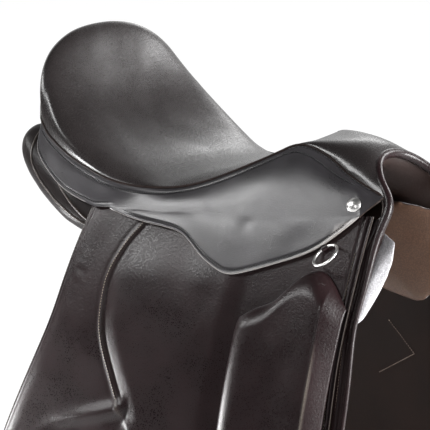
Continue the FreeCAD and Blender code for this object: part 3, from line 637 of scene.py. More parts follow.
def flapRelief(x, z, a, b):
    # how far the leather stands off the plain flap
    off = fromSeam(x, z)
    rearward, forward = a * flapLook["width"], (1 - a) * flapLook["width"]
    low = (1 - b) * flapLook["width"]
    padded = smooth(2.0, 24.0, off) * (1 - smooth(80, 112, x)) * smooth(-330, -250, z) * smooth(0.05, 0.19, b)
    lift = padded * (flapLook["padding"] + 0.5 * noise.noise(Vector((x * 0.03, z * 0.03, 9.0))))
    # the welted seam: a ridge with a groove on the knee side
    onSeam = smooth(-176, -156, z)
    lift += (1.1 * bump(off, -0.4, 2.4) - 1.2 * bump(off, 4.4, 1.9) - 0.5 * bump(off, -5.0, 2.0)) * onSeam
    # gusset fold at the foot of the seam
    fold = (z + 163) - 0.34 * (x + 13)
    reach = smooth(-128, -60, x) * (1 - smooth(-16, -6, x))
    lift += reach * (flapLook["foldRidge"] * bump(fold, 10, 9.0)
                     - flapLook["foldGroove"] * bump(fold, -3.0, 3.2 if fold > -3 else 22.0))
    # slack creases between the rear edge and the seam
    slack = smooth(8, 30, -off) * smooth(10, 26, rearward)
    patchy = smooth(-0.2, 0.35, noise.noise(Vector((x * 0.02, z * 0.015, 8.0))))
    lift += slack * patchy * 0.38 * noise.noise(Vector((x * 0.05 - z * 0.03, z * 0.13 + x * 0.06, 3.0)))
    lift += slack * 1.0 * noise.noise(Vector((x * 0.016, z * 0.022, 5.0)))
    # bound rim behind and below, with the flap's own leather rolled over inside it
    rim = min(rearward, low)
    roll = 1 - smooth(150, 235, x) if low < rearward else 1.0
    lift += (flapLook["border"] * (smooth(4.0, 7.6, rim) - 1) + 0.9 * bump(rim, 9.0, 2.6)) * roll
    lift -= flapLook["rearRoll"] * (1 - math.sqrt(1 - min(0.93, max(0.0, 28 - rearward) / 21) ** 2))
    lift += 1.0 * bump(forward, 1.8, 1.8) - 1.2 * bump(forward, 5.4, 1.4) + 0.7 * bump(forward, 8.4, 2.0) \
        - 1.0 * bump(forward, flapLook["hem"], 1.4)
    return lift


def flap():
    def place(a, b):
        a, b = crowd(a), crowd(b)
        spot = flapPatch(a, b)
        return flapAt(spot.x, spot.z, flapRelief(spot.x, spot.z, a, b))

    def wear(a, b):
        a, b = crowd(a), crowd(b)
        spot = flapPatch(a, b)
        edge = min(a, 1 - a, 1 - b) * flapLook["width"]
        return max(0.5 * (1 - smooth(0, 1.6, edge)), 0.3 * bump(fromSeam(spot.x, spot.z), 0, 1.4))

    piece = gridPiece("flapLeather_right", place, (flapLook["columns"], flapLook["rows"]),
                      ["flapLeather", "innerLeather", "edgeLeather"], flip=True, wear=wear)
    thicken(piece, flapLook["thickness"], edge=1.2, rim=2, inner=1)
    dress(piece, "flap_right", "flap_leather", ["flap_right"])

    def beside(gap, lift):
        def line(t):
            t = 0.01 + 0.98 * t
            spot, ahead = flapSeam(t), flapSeam(min(1, t + 0.01))
            run = (ahead - flapSeam(max(0, t - 0.01))).normalized()
            return flapAt(spot.x + run.z * -gap, spot.z - run.x * -gap, lift)
        return line

    def square(t):
        spot = flapSeam(t)
        return flapNormal(spot.x, spot.z)
    dress(tubePiece("flapSeamCord_right", beside(-0.3, 0.5), square, flapLook["cord"], 90, "flapLeather"),
          "flap_right")
    dress(stitchRow("flapSeamStitches_right", beside(-0.3, 1.6), square, "paleThread", width=1.2, length=2.3,
                    lift=0.3), "flap_right")

    def frontStitch(t):
        b = 0.1 + 0.88 * t
        spot = flapPatch(1 - flapLook["hem"] / flapLook["width"], b)
        return flapAt(spot.x, spot.z, -0.5)
    dress(stitchRow("flapFrontStitches_right", frontStitch, lambda t: flapNormal(230, -100), "brownThread",
                    width=0.8, lift=0.2), "flap_right")


flap()
print("flaps done")


# ---- skirt: one curved surface from the welt over the bend to its lower edge, parted at the bend
skirtForm = dict(tail=[(-203, -131, 134), (-206, -134, 117), (-200, -137, 104), (-188, -139.5, 92),
                       (-172, -142, 80), (-148, -144, 68)],
                 tip=[(224, -83.9, 86.1), (233, -73, 97), (241, -61.5, 106.5)],
                 leaf=[(224, 86.1), (216, 77), (194, 56), (168, 39), (128, 22), (92, 9.5), (70, 12), (46, 23),
                       (22, 39), (-3, 46), (-45, 49), (-88, 56)],
                 bend=[-110, -66, -16, 34, 74, 101, 126, 154, 186, 224],
                 over=5.8, thickness=3.2, bulge=7.0, bulgeX=140.0, bulgeReach=75.0, tailHem=4.5, leafHem=4.4,
                 tailStitches=(0.8, 6.4), weltStitches=(1.6, 14.1))
leafEdge = sideLine(skirtForm["leaf"])
tailCount = len(skirtForm["tail"])


def bendSpot(x):
    start = flapPoint(0, 0, skirtForm["over"])
    return flapPoint((x - start.x) / bendAlong.x, 0, skirtForm["over"])


tailRail = railOf(skirtForm["tail"] + [tuple(bendSpot(skirtForm["bend"][0]))])
bendRail = railOf([(x, 0, 0) for x in skirtForm["bend"]])
tipRail = railOf(skirtForm["tip"])
leafFall = (flapPoint(0, 6, 0) - flapPoint(0, 0, 0)).normalized()


def bandLow(station):
    if station <= tailCount:
        return tailRail(station)
    if station >= lastStation - 1:
        return tipRail((station - lastStation + 1) * 2)
    share = (station - tailCount) / (lastStation - 1 - tailCount)
    return bendSpot(bendRail(share * (len(skirtForm["bend"]) - 1)).x)


def softLow(station):
    # the lower edge with its corner at the front tip rounded off
    around = [bandLow(min(lastStation, max(0, station + step))) for step in (-0.6, -0.3, 0, 0.3, 0.6)]
    return sum(around, Vector((0, 0, 0))) / len(around)


def bandAt(station, share):
    # leaves the welt, bulges over the bar, and meets the bend in the leaf's own direction
    seam, low = seamRail(station), bandLow(station)
    fall = low - seam
    outward = Vector((1, 0, 0)).cross(fall).normalized()
    outward = outward if outward.y < 0 else -outward
    away = (seam.x - skirtForm["bulgeX"]) / skirtForm["bulgeReach"]
    swell = skirtForm["bulge"] * math.exp(-away * away) * min(1.0, fall.length / 40)
    first = seam + fall * 0.33 + outward * (swell + 0.04 * fall.length)
    settle = smooth(tailCount - 1, tailCount + 1.5, station) * (1 - smooth(lastStation - 1, lastStation, station))
    corner = smooth(lastStation - 2.5, lastStation - 1.5, station)
    near = lerp(low, softLow(station), corner) if corner else low
    second = lerp(near - fall * 0.33 + outward * swell, near - leafFall * fall.length * 0.5, settle)
    return bezier([seam, first, second, low], share)


def bandNormal(station, share):
    along = bandAt(min(lastStation, station + 0.06), share) - bandAt(max(0, station - 0.06), share)
    down = bandAt(station, min(1, share + 0.03)) - bandAt(station, max(0, share - 0.03))
    normal = along.cross(down).normalized()
    return normal if normal.y < 0 else -normal


def stitchGap(station):
    # the inner stitching runs close to the welt and parts from it towards the nail
    return float(np.interp(station, (0, 11, 12, 13, 14, 15), (8.5, 8.5, 13, 18, 19, 12)))


def leafAt(a, share, lift=0.0):
    # a runs along the bend from the rear tip, share from the bend to the free edge
    rear, front = skirtForm["leaf"][-1][0], skirtForm["leaf"][0][0]
    top, edge = bendSpot(lerp(rear, front, a)), leafEdge(1 - a)
    if share < 0:
        return flapPoint(flapSpot(top.x, top.z, 0)[0], 0, skirtForm["over"] + lift) - leafFall * 3 * -share
    return flapAt(lerp(top.x, edge.x, share), lerp(top.z, edge.z, share), skirtForm["over"] + lift)


def skirt():
    def band(a, b):
        station = lastStation * a
        b = lerp(b, math.sin(b * math.pi / 2), 0.3)
        point, full = bandAt(station, b), (bandLow(station) - seamRail(station)).length
        below = b * full
        swell = noise.noise(point * 0.02) * 0.7 * min(1.0, b * 6)
        swell *= (1 - smooth(0.5, 1.0, b)) * smooth(0.0, 0.03, a)
        pillow = smooth(1.5, 2.5, station) * (1 - smooth(14.2, 14.8, station))
        gap = stitchGap(station)
        swell += pillow * (0.4 * bump(below, gap * 0.5, gap * 0.3) - 0.5 * bump(below, gap, 1.5))
        if station < tailCount + 0.5:
            swell -= 0.5 * bump(full - below, skirtForm["tailHem"], 1.4)
        return point + bandNormal(station, b) * swell

    # the tail's lower edge painted lighter: partly rubbed edge, partly a painted highlight line
    def bandWearAndSheen(a, b):
        full = (bandLow(lastStation * a) - seamRail(lastStation * a)).length
        return 0.7 * (1 - smooth(0.3, 2.4, (1 - b) * full)) if a * lastStation < tailCount - 0.3 else 0.0

    piece = gridPiece("skirtBand_right", band, (230, 44), ["skirtLeather", "edgeLeather"], flip=True,
                      wear=bandWearAndSheen)
    thicken(piece, skirtForm["thickness"], edge=0.12, rim=1)
    dress(piece, "saddle", "seat_leather", ["skirt_band_right"])

    def leaf(a, b):
        if b <= 0:
            return leafAt(a, -1, -0.03)
        b = (b - 1 / 52) * 52 / 51
        b = lerp(b, math.sin(b * math.pi / 2), 0.5)
        top, edge = bendSpot(lerp(skirtForm["leaf"][-1][0], skirtForm["leaf"][0][0], a)), leafEdge(1 - a)
        full = math.hypot(top.x - edge.x, top.z - edge.z)
        inset = (1 - b) * full
        wave = 0.7 * noise.noise(Vector((lerp(top.x, edge.x, b) * 0.022, b * 1.4, 2.0))) * smooth(0, 0.3, b)
        pinch = -0.6 * bump(math.hypot(lerp(top.x, edge.x, b) - 92, lerp(top.z, edge.z, b) - 62), 0, 9)
        groove = -0.7 * bump(inset, skirtForm["leafHem"], 1.2) * smooth(8, 16, full)
        return leafAt(a, b, (wave + pinch) * smooth(0, 0.2, b) + groove + 0.4 * bump(inset, 1.8, 1.5))

    # the leaf's free edge painted lighter: partly rubbed edge, partly a painted highlight line
    def leafWearAndSheen(a, b):
        full = 75 * math.sin(min(1.0, a * 1.1) * math.pi) + 4
        return (1 - smooth(0.6, 2.4, (1 - lerp(b, math.sin(b * math.pi / 2), 0.5)) * full))

    piece = gridPiece("skirtLeaf_right", leaf, (220, 52), ["skirtLeather", "edgeLeather"], flip=True,
                      wear=leafWearAndSheen)
    thicken(piece, skirtForm["thickness"], edge=0.9, rim=1)
    dress(piece, "skirt_right", "seat_leather", ["skirt_leaf_right"])

    def leafStitch(t):
        t = 0.05 + 0.9 * t
        spot = leafEdge(t)
        run = (leafEdge(min(1, t + 0.01)) - leafEdge(t - 0.01)).normalized()
        inset = skirtForm["leafHem"]
        return flapAt(spot.x + run.z * inset, spot.z - run.x * inset, skirtForm["over"] - 0.3)

    dress(stitchRow("skirtStitches_right", leafStitch, lambda t: flapNormal(60, 30), "darkThread", pitch=3.1,
                    width=1.4, lift=0.1), "skirt_right")

    def tailStitch(t):
        station = lerp(*skirtForm["tailStitches"], t)
        full = (bandLow(station) - seamRail(station)).length
        return bandAt(station, 1 - skirtForm["tailHem"] / full)

    dress(stitchRow("tailStitches_right", tailStitch,
                    lambda t: bandNormal(lerp(*skirtForm["tailStitches"], t), 0.85), "darkThread",
                    pitch=3.1, width=1.4, lift=0.0), "saddle")

    def innerStitch(t):
        station = lerp(*skirtForm["weltStitches"], t)
        full = (bandLow(station) - seamRail(station)).length
        return bandAt(station, min(0.8, stitchGap(station) / full))

    dress(stitchRow("weltStitches_right", innerStitch,
                    lambda t: bandNormal(lerp(*skirtForm["weltStitches"], t), 0.3), "darkThread",
                    pitch=2.9, width=1.7, lift=0.2), "saddle")

    def seamStitch(t):
        station = lerp(11.3, 14.7, t)
        return bandAt(station, 3.4 / (bandLow(station) - seamRail(station)).length)

    dress(stitchRow("frontSeamStitches_right", seamStitch, lambda t: bandNormal(lerp(11.3, 14.9, t), 0.1),
                    "darkThread", pitch=4.2, length=3.0, width=2.0, lift=0.5), "saddle")


skirt()
print("skirts done")


# ---- knee blocks: a steep wall behind, a sloping head, a rolled strip along the front
blockForm = dict(rear=111.0, front=236.0, bottom=-238.0, edge=2.5, crown=20.0, ridge=0.845,
                 top=[(0, -34), (0.15, -21), (0.32, -9), (0.48, 14), (0.64, 26), (0.78, 21), (0.9, 6), (1, -8)])
blockTop = evenRail([(share * 100, 0, z) for share, z in blockForm["top"]])
blockTops = sorted((blockTop(i / 80).x / 100, blockTop(i / 80).z) for i in range(81))
blockShares, blockHeights = zip(*blockTops)


def blockSpot(share, down):
    top = float(np.interp(share, blockShares, blockHeights))
    return (lerp(blockForm["rear"], blockForm["front"], share) + 5 * down * down,
            lerp(top, blockForm["bottom"], down))


def blockLift(share, down):
    wall = min(1.0, share / 0.2)
    rearWall = math.sqrt(max(0.0, 1 - (1 - wall) ** 2))
    ridge = blockForm["ridge"] + 0.03 * math.sin(down * 3)
    beyond = max(0.0, (share - ridge) / (1 - ridge))
    front = 1 - 0.82 * beyond ** 1.25
    crest = 0.80 + 0.20 * bump(share, ridge - 0.02, 0.24) + 0.03 * bump(share, ridge, 0.012)
    headEnd = min(1.0, down / 0.085)
    headWall = math.sqrt(max(0.0, 1 - (1 - headEnd) ** 2))
    foot = 1 - smooth(0.8, 1.0, down)
    slack = 0.6 * noise.noise(Vector((share * 4, down * 6, 4.0))) * smooth(0, 0.2, share)
    return blockForm["edge"] + (blockForm["crown"] * crest + slack) * rearWall * front * headWall * foot


def kneeBlock():
    def place(a, b):
        x, z = blockSpot(a, lerp(b * b, b, 0.6))
        return flapAt(x, z, blockLift(a, lerp(b * b, b, 0.6)))

    # a painted highlight: a pale line along the lower part of the ridge crease
    def wear(a, b):
        low = smooth(0.25, 0.5, b)
        return 0.9 * low * bump(a, blockForm["ridge"] + 0.03 * math.sin(b * 3), 0.008)

    piece = gridPiece("kneeBlockCover_right", place, (110, 150), "flapLeather", flip=True, wear=wear)
    thicken(piece, 2.2)
    dress(piece, "flap_right", "flap_leather", ["knee_block_right"], fill=0.8)


kneeBlock()
print("knee blocks done")


# ---- sweat flaps under the billets, rolled along the front edge in one piece with the arch's roll
sweatLook = dict(rear=[(-112, 10), (-124, -60), (-141, -150), (-150, -240)],
                 front=[(246, 94), (245, 80), (242, 64), (242.5, 45), (243, 15), (241.5, -15), (244, -40),
                        (250, -100), (252, -170), (244, -245)],
                 bottom=[(-150, -240), (-130, -288), (-80, -313), (30, -320), (140, -312), (210, -292),
                         (244, -245)],
                 top=[(-112, 10), (-60, 20), (20, 24), (110, 28), (160, 30), (207, 40), (228, 66), (246, 94)],
                 lift=-9.2, rise=2.6, thickness=2.8, hem=9.5, mark=[(109, -118), (144, -158), (79, -203)])
sweatPatch = patchOf(sweatLook)
sweatFront = sideLine(sweatLook["front"])
sweatMark = [Vector((x, 0, z)) for x, z in sweatLook["mark"]]


def sweatLift(x):
    # the front part comes up to meet the flap
    return sweatLook["lift"] + sweatLook["rise"] * smooth(150, 232, x)


def sweatFlap():
    def place(a, b):
        a = crowd(a, 0.5)
        spot = sweatPatch(a, b)
        edge = min(a, 1 - a, 1 - b) * 350
        wave = 0.5 * noise.noise(Vector((spot.x * 0.02, spot.z * 0.02, 12.0)))
        groove = -0.7 * bump((1 - a) * 350, sweatLook["hem"], 1.5)
        return flapAt(spot.x, spot.z, sweatLift(spot.x) + (wave + groove) * smooth(0, 8, edge))

    # its edges are painted lighter, a painted highlight along the rim
    piece = gridPiece("sweatFlapLeather_right", place, (120, 120), ["flapLeather", "innerLeather"], flip=True,
                      wear=lambda a, b: 0.5 * (1 - smooth(0, 3, min(a, 1 - a, 1 - b) * 350)))
    thicken(piece, sweatLook["thickness"], edge=1.0, rim=1, inner=1)
    dress(piece, "saddle", "panel_leather", ["sweat_flap_right"])

    inside = sweatLook["lift"] - sweatLook["thickness"]
    turn = (sweatMark[1] - sweatMark[0]).length
    whole = turn + (sweatMark[2] - sweatMark[1]).length

    def mark(t):
        far = t * whole
        spot = (lerp(sweatMark[0], sweatMark[1], far / turn) if far < turn
                else lerp(sweatMark[1], sweatMark[2], (far - turn) / (whole - turn)))
        return flapAt(spot.x, spot.z, inside)
    dress(stitchRow("billetKeeperStitches_right", mark, lambda t: -flapNormal(110, -160), "brownThread", width=1.5,
                    lift=0.4), "saddle")

    def edgeStitch(t):
        spot = sweatFront(0.06 + 0.9 * t)
        return flapAt(spot.x - sweatLook["hem"], spot.z, sweatLift(spot.x) - 0.5)
    dress(stitchRow("sweatEdgeStitches_right", edgeStitch, lambda t: flapNormal(240, -60), "brownThread",
                    width=0.8, lift=0.2), "saddle")


sweatFlap()
print("sweat flaps done")


# ---- stuffed panels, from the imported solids: merged, remeshed, blown up a little and smoothed
panelForm = dict(voxel=3.6, pressure=4.0, frames=12, cap=3.0, frontTuck=32.0,
                 pipes=[[(-226, -97, 129), (-236, -98, 112), (-226, -108, 92), (-205, -116, 72), (-172, -124, 50),
                         (-128, -132, 28)],
                        [(-212, -110, 96), (-190, -118, 78), (-160, -126, 54), (-118, -136, 30)]])


def sewUp(shell):
    bmesh.ops.remove_doubles(shell, verts=shell.verts[:], dist=0.00005)
    bmesh.ops.recalc_face_normals(shell, faces=shell.faces[:])


def relax(piece, times):
    def settle(shell):
        for turn in range(times):
            bmesh.ops.smooth_vert(shell, verts=shell.verts[:], factor=0.5, use_axis_x=True, use_axis_y=True,
                                  use_axis_z=True)
    rework(piece.data, settle)


def puff(piece, form):
    # pressure from inside, and no point may move further than the cap
    before = [corner.co.copy() for corner in piece.data.vertices]
    cloth = piece.modifiers.new("Cloth", "CLOTH")
    cloth.settings.use_pressure = True
    cloth.settings.uniform_pressure_force = form["pressure"]
    cloth.settings.effector_weights.gravity = 0
    cloth.settings.tension_stiffness = 15
    cloth.settings.bending_stiffness = 2
    cloth.collision_settings.use_collision = False
    scene = bpy.context.scene
    for step in range(1, form["frames"] + 1):
        scene.frame_set(step)
    shape = piece.evaluated_get(bpy.context.evaluated_depsgraph_get()).to_mesh()
    after = [corner.co.copy() for corner in shape.vertices]
    piece.modifiers.remove(cloth)
    scene.frame_set(1)
    cap = form["cap"] * mm
    for corner, old, new in zip(piece.data.vertices, before, after):
        move = new - old
        corner.co = old + (move if move.length < cap else move.normalized() * cap)


def panel():
    mesh = bpy.data.objects["panel_right"].data.copy()
    rework(mesh, sewUp)
    mesh.materials.clear()
    piece = linked("panelStuffed_right", mesh)
    for other in bpy.context.selected_objects:
        other.select_set(False)
    piece.select_set(True)
    bpy.context.view_layer.objects.active = piece
    remesh = piece.modifiers.new("Remesh", "REMESH")
    remesh.mode = "VOXEL"
    remesh.voxel_size = panelForm["voxel"] * mm
    bpy.ops.object.modifier_apply(modifier="Remesh")
    relax(piece, 14)
    puff(piece, panelForm)
    relax(piece, 3)
    for corner in piece.data.vertices:
        corner.co += corner.normal * mm * 0.7 * noise.noise(corner.co * 38)
        corner.co.x -= (panelForm["frontTuck"] * mm * smooth(0.17, 0.25, corner.co.x)
                        * (1 - smooth(-0.06, 0.045, corner.co.z)))
    piece.data.materials.append(finish["panelLeather"])
    piece.data.polygons.foreach_set("use_smooth", [True] * len(piece.data.polygons))
    inward = piece.data.attributes.new("inner", "FLOAT", "POINT")
    inward.data.foreach_set("value", [smooth(0.0, 0.5, corner.normal.y * 0.9 - corner.normal.z * 0.45)
                                      for corner in piece.data.vertices])
    # a near-white painted reflection on the front point of the panel, on faces turned outwards
    reflectionMask = piece.data.attributes.new("gusset", "FLOAT", "POINT")
    reflectionMask.data.foreach_set("value", [smooth(0.198, 0.206, corner.co.x) * smooth(-0.2, 0.2, -corner.normal.y)
                                    for corner in piece.data.vertices])
    finer = piece.modifiers.new("Subdivision", "SUBSURF")
    finer.levels = finer.render_levels = 1
    dress(piece, "saddle", "panel_leather", ["panel_right"], fill=0.85)

    skin = BVHTree.FromPolygons([corner.co for corner in piece.data.vertices],
                                [face.vertices[:] for face in piece.data.polygons])
    for index, points in enumerate(panelForm["pipes"]):
        rough = evenRail(points)
        spots = []
        for step in range(13):
            near, normal = skin.find_nearest(rough(step / 12) * mm)[:2]
            spots.append((near / mm, normal))
        line = railOf([tuple(spot) for spot, normal in spots])
        normals = railOf([tuple(normal) for spot, normal in spots])
        dress(tubePiece("panelPiping%d_right" % (index + 1), lambda t: line(t * 12), lambda t: normals(t * 12),
                        1.5, 120, "pipingLeather"), "saddle")


panel()
print("panels done")


# ---- rolled edge: over the arch and down both sweat flaps
archForm = dict(radius=5.2, edge=2.6, under=5.0, ahead=2.5, shares=[0.0, 0.2, 0.4, 0.6, 0.78],
                shoulder=(241, -54.5, 107.5), edgeShares=[0.0, 0.06, 0.14, 0.24, 0.36, 0.5, 0.65, 0.8, 0.96])


def archRoll():
    # tucked under the front edge of the seat hide, then along the front of the sweat flap
    right = [seatPlain(lastStation, -share) + Vector((archForm["ahead"], 0, 0))
             - seatNormal(lastStation, -share) * archForm["under"] for share in archForm["shares"]]
    right.append(Vector(archForm["shoulder"]))
    for share in archForm["edgeShares"]:
        spot = sweatFront(share)
        right.append(flapAt(spot.x + 1.5, spot.z, sweatLift(spot.x) - 1.0))
    line = evenRail([tuple(flipped(point)) for point in reversed(right[1:])] + [tuple(point) for point in right])

    def radius(t):
        return lerp(archForm["edge"], archForm["radius"], 1 - smooth(0.10, 0.26, abs(t - 0.5)))
    piece = tubePiece("archRollLeather", line, lambda t: Vector((1, 0, 0)), radius, 520, "flapLeather", sides=20)
    dress(piece, "saddle", "seat_leather", ["arch_roll"])


archRoll()


# ---- gullet lining: from the roll back under the head of the tree
liningForm = dict(shares=[0.0, 0.25, 0.5, 0.78], under=8.5,
                  front=[(239.5, -50.5, 99), (244, -59, 82), (244, -67, 62), (241, -79, 40)],
                  arch=[(0, 118.5), (13.5, 115.3), (24.8, 106.8), (36.3, 92.3), (48.2, 74.6), (56.5, 59),
                        (63.5, 43), (69.5, 28)],
                  rearX=138.0, throatX=203.0)


def gulletLining():
    lip = [seatPlain(lastStation, -share) - seatNormal(lastStation, -share) * liningForm["under"]
           for share in liningForm["shares"]]
    front = railOf([tuple(point) for point in lip] + liningForm["front"])
    arch = railOf([(0, -out, up) for out, up in liningForm["arch"]])
    last = len(liningForm["arch"]) - 1

    def place(a, b):
        side = 2 * a - 1
        lip, inner = front(abs(side) * last), arch(abs(side) * last)
        throat = Vector((liningForm["throatX"], inner.y, inner.z))
        rear = Vector((liningForm["rearX"], inner.y, inner.z))
        point = bezier([lip, lerp(lip, throat, 0.5) + Vector((1, 0, -2)), throat, rear], b)
        point += Vector((0, 0, 0.5 * noise.noise(point * 0.03)))
        return flipped(point) if side > 0 else point

    piece = gridPiece("gulletLiningLeather", place, (110, 40), "liningLeather")
    thicken(piece, 1.4)
    dress(piece, "saddle", "panel_leather", ["gullet_lining"])

    def seamLine(t):
        side = 2 * t - 1
        point = front(abs(side) * last * 0.82)
        point = point + Vector((-7, 0, -0.9 - 1.2 * (1 - abs(side))))
        return flipped(point) if side > 0 else point
    dress(tubePiece("gulletPiping", seamLine, lambda t: Vector((1, 0, -1)), 1.1, 160, "pipingLeather", sides=8),
          "saddle")


gulletLining()


# ---- cantle facing
facingForm = dict(low=[(-229, 0, 152), (-227, -70, 150), (-216, -110, 134), (-206, -119, 122)], hollow=3.0,
                  tuck=[(-221, 0, 120), (-219, -70, 117), (-208, -110, 104), (-200, -122, 96)], thickness=2.2)


def cantleFacing():
    low = [Vector(point) for point in facingForm["low"]]

    def place(a, b):
        side = (a - 0.5) * 1.98
        top, foot = seatPlain(0, side), bezier(low, abs(side))
        foot = flipped(foot) if side > 0 else foot
        return lerp(top, foot, b) + Vector((facingForm["hollow"] * math.sin(b * math.pi), 0, 0))

    piece = gridPiece("cantleFacingLeather", place, (100, 18), "facingLeather", flip=True)
    thicken(piece, facingForm["thickness"])
    dress(piece, "saddle", "seat_leather", ["cantle_facing"])

    # the tuck closes the tree in between the facing and the panels
    tuck = [Vector(point) for point in facingForm["tuck"]]

    def tuckPlace(a, b):
        side = (a - 0.5) * 1.98
        head, foot = bezier(low, abs(side)) + Vector((1.2, 0, 3)), bezier(tuck, abs(side))
        spot = lerp(head, foot, b) + Vector((2 * math.sin(b * math.pi), 0, 0))
        return flipped(spot) if side > 0 else spot

    piece = gridPiece("cantleTuckLeather", tuckPlace, (100, 10), "facingLeather", flip=True)
    thicken(piece, 1.6)
    dress(piece, "saddle", "seat_leather")


cantleFacing()
print("trim done")


# ---- ring under the skirt, bent from wire and welded
ringForm = dict(radius=15.5, wire=1.5, weld=0.35, weldAt=0.36)


def ringWire():
    spots = np.array([tuple(corner.co / mm) for corner in bpy.data.objects["front_ring_right"].data.vertices])
    centre = spots.mean(axis=0)
    axes = np.linalg.svd(spots - centre, full_matrices=False)[2]
    middle, across, up, normal = Vector(centre), Vector(axes[0]), Vector(axes[1]), Vector(axes[2])

    def place(a, b):
        turn, spin = a * 2 * math.pi, b * 2 * math.pi
        wire = ringForm["wire"] + ringForm["weld"] * bump(a, ringForm["weldAt"], 0.012)
        out = across * math.cos(turn) + up * math.sin(turn)
        return middle + out * (ringForm["radius"] + wire * math.cos(spin)) + normal * wire * math.sin(spin)

    piece = gridPiece("ringWire_right", place, (120, 14), "nickel", weld=True)
    rework(piece.data, lambda shell: bmesh.ops.recalc_face_normals(shell, faces=shell.faces[:]))
    dress(piece, "front_ring_right", "bright_metal", ["front_ring_right"])


ringWire()
mirrorRightPieces()
print("left side mirrored")

cadLook = dict(seat_webbing="webbing", front_girth_webbing="webbing", rear_girth_webbing="webbing",
               tree_cantle="beech", tree_head="beech", spring_steels="steel", head_plate="steel",
               gullet_plate="steel", bar_rivets="steel", saddle_nails="nickel")
pairLook = dict(tree_rail="beech", stirrup_bar="steel", bar_latch="steel", latch_pin="steel",
                point_pocket="panelLeather", ring_chape="flapLeather", front_billet="innerLeather",
                rear_billet="innerLeather")
for node, material in pairLook.items():
    cadLook[node + "_right"] = cadLook[node + "_left"] = material
for node, material in cadLook.items():
    mesh = bpy.data.objects[node].data
    mesh.materials.clear()
    mesh.materials.append(finish[material])
print("CAD pieces dressed")


# ---- camera
view = dict(target=(-0.02053, -0.02430, 0.03571), azimuth=38.0, height=15.0, distance=2.2, lens=153.8)
camera = linked("camera", bpy.data.cameras.new("camera"))
sweep, rise = math.radians(view["azimuth"]), math.radians(view["height"])
back = Vector((math.sin(sweep) * math.cos(rise), -math.cos(sweep) * math.cos(rise), math.sin(rise)))
camera.location = Vector(view["target"]) + back * view["distance"]
camera.rotation_euler = back.to_track_quat("Z", "Y").to_euler()
camera.data.lens = view["lens"]
camera.data.sensor_width = 36
camera.data.clip_end = 50
bpy.context.scene.camera = camera


# ---- lamps: each box is set where one part of the leather mirrors it
def lamp(name, place, aim, size, power):
    light = bpy.data.lights.new(name, "AREA")
    light.shape = "RECTANGLE"
    light.size, light.size_y = size
    light.energy = power
    holder = linked(name, light)
    holder.visible_camera = False
    holder.location = Vector(place)
    holder.rotation_euler = (Vector(place) - Vector(aim)).to_track_quat("Z", "Y").to_euler()


lamps = dict(
    skirtSoftbox=dict(place=(-1.15, -1.64, 1.44), aim=(0, 0, 0.05), size=(0.8, 0.6), power=29),
    kneeSoftbox=dict(place=(-0.45, -0.40, -0.20), aim=(0.1, -0.2, -0.18), size=(0.25, 0.14), power=4.5),
    panelSoftbox=dict(place=(-1.45, -0.72, 0.75), aim=(-0.2, -0.1, 0.08), size=(0.5, 0.3), power=10),
    frontSoftbox=dict(place=(0.95, -1.80, 0.75), aim=(0, 0, 0), size=(0.5, 0.5), power=5),
    dishSoftbox=dict(place=(-0.70, 1.75, 0.98), aim=(0, 0, 0.1), size=(0.7, 0.35), power=3.8),
    crescentSoftbox=dict(place=(0.86, 1.85, 0.92), aim=(0, 0, 0.1), size=(1.2, 0.42), power=26),
    rightSoftbox=dict(place=(2.05, 0.20, 0.45), aim=(0, 0, 0), size=(0.7, 1.0), power=118))
for name, look in lamps.items():
    lamp(name, **look)


# ---- surroundings: dim for the leather, white behind it, with white paper for the metal to mirror
surroundStrength = 0.08
world = bpy.data.worlds.new("studio")
bpy.context.scene.world = world
world.use_nodes = True
skyTree = world.node_tree
surround = skyTree.nodes["Background"]
surround.inputs["Color"].default_value = (1, 1, 1, 1)
surround.inputs["Strength"].default_value = surroundStrength
plain = skyTree.nodes.new("ShaderNodeBackground")
plain.inputs["Color"].default_value = (1, 1, 1, 1)
compass = Wire(skyTree, skyTree.nodes.new("ShaderNodeTexCoord").outputs["Generated"])


def towards(direction):
    # 1 straight that way, 0 square to it
    return compass.out(compass.node("ShaderNodeVectorMath", {"operation": "DOT_PRODUCT"}, i0=compass,
                                    i1=direction), 1)


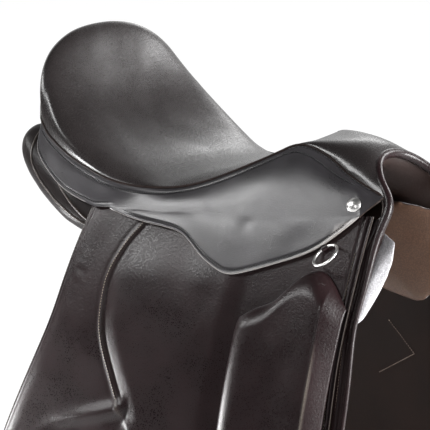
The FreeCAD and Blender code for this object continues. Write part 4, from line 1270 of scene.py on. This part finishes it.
height = compass.out(compass.node("ShaderNodeSeparateXYZ", None, Vector=compass), 2)
lowPaper = towards((-0.20, 0.98, 0.0)).step(0.0, 0.3) * (1 - height.step(0.25, 0.45))
tallPaper = towards((-0.57, 0.82, 0.0)).step(0.5, 0.75) * (1 - height.step(0.62, 0.80))
paper = (lowPaper + tallPaper).clamp(0, 1)
rays = skyTree.nodes.new("ShaderNodeLightPath")
seen = Wire(skyTree, rays.outputs["Is Camera Ray"])
mirrored = Wire(skyTree, rays.outputs["Is Glossy Ray"]) + Wire(skyTree, rays.outputs["Is Transmission Ray"])
skyBlend = skyTree.nodes.new("ShaderNodeMixShader")
feed(skyBlend, 0, (seen + mirrored.clamp(0, 1) * paper).clamp(0, 1))
skyTree.links.new(surround.outputs[0], skyBlend.inputs[1])
skyTree.links.new(plain.outputs[0], skyBlend.inputs[2])
skyTree.links.new(skyBlend.outputs[0], skyTree.nodes["World Output"].inputs["Surface"])


# ---- floor
floorForm = dict(size=6, level=-0.36, shade=(0.8, 0.8, 0.8, 1), rough=0.9, glow=1.1, glowShare=0.9)
floorShell = bmesh.new()
bmesh.ops.create_grid(floorShell, x_segments=2, y_segments=2, size=floorForm["size"])
bmesh.ops.translate(floorShell, verts=floorShell.verts[:], vec=(0, 0, floorForm["level"]))
floorMesh = bpy.data.meshes.new("floor")
floorShell.to_mesh(floorMesh)
floorShell.free()
floor = linked("floor", floorMesh)
paleFloor = bpy.data.materials.new("paleFloor")
paleFloor.use_nodes = True
floorTree = paleFloor.node_tree
matte = floorTree.nodes["Principled BSDF"]
matte.inputs["Base Color"].default_value = floorForm["shade"]
matte.inputs["Roughness"].default_value = floorForm["rough"]
glow = floorTree.nodes.new("ShaderNodeEmission")
glow.inputs["Strength"].default_value = floorForm["glow"]
floorRays = Wire(floorTree, floorTree.nodes.new("ShaderNodeLightPath").outputs["Is Camera Ray"])
lit = floorTree.nodes.new("ShaderNodeMixShader")
feed(lit, 0, floorRays * floorForm["glowShare"])
floorTree.links.new(matte.outputs[0], lit.inputs[1])
floorTree.links.new(glow.outputs[0], lit.inputs[2])
floorTree.links.new(lit.outputs[0], floorTree.nodes["Material Output"].inputs["Surface"])
floorMesh.materials.append(paleFloor)

bpy.context.scene.view_settings.view_transform = "Standard"
print("stage ready")
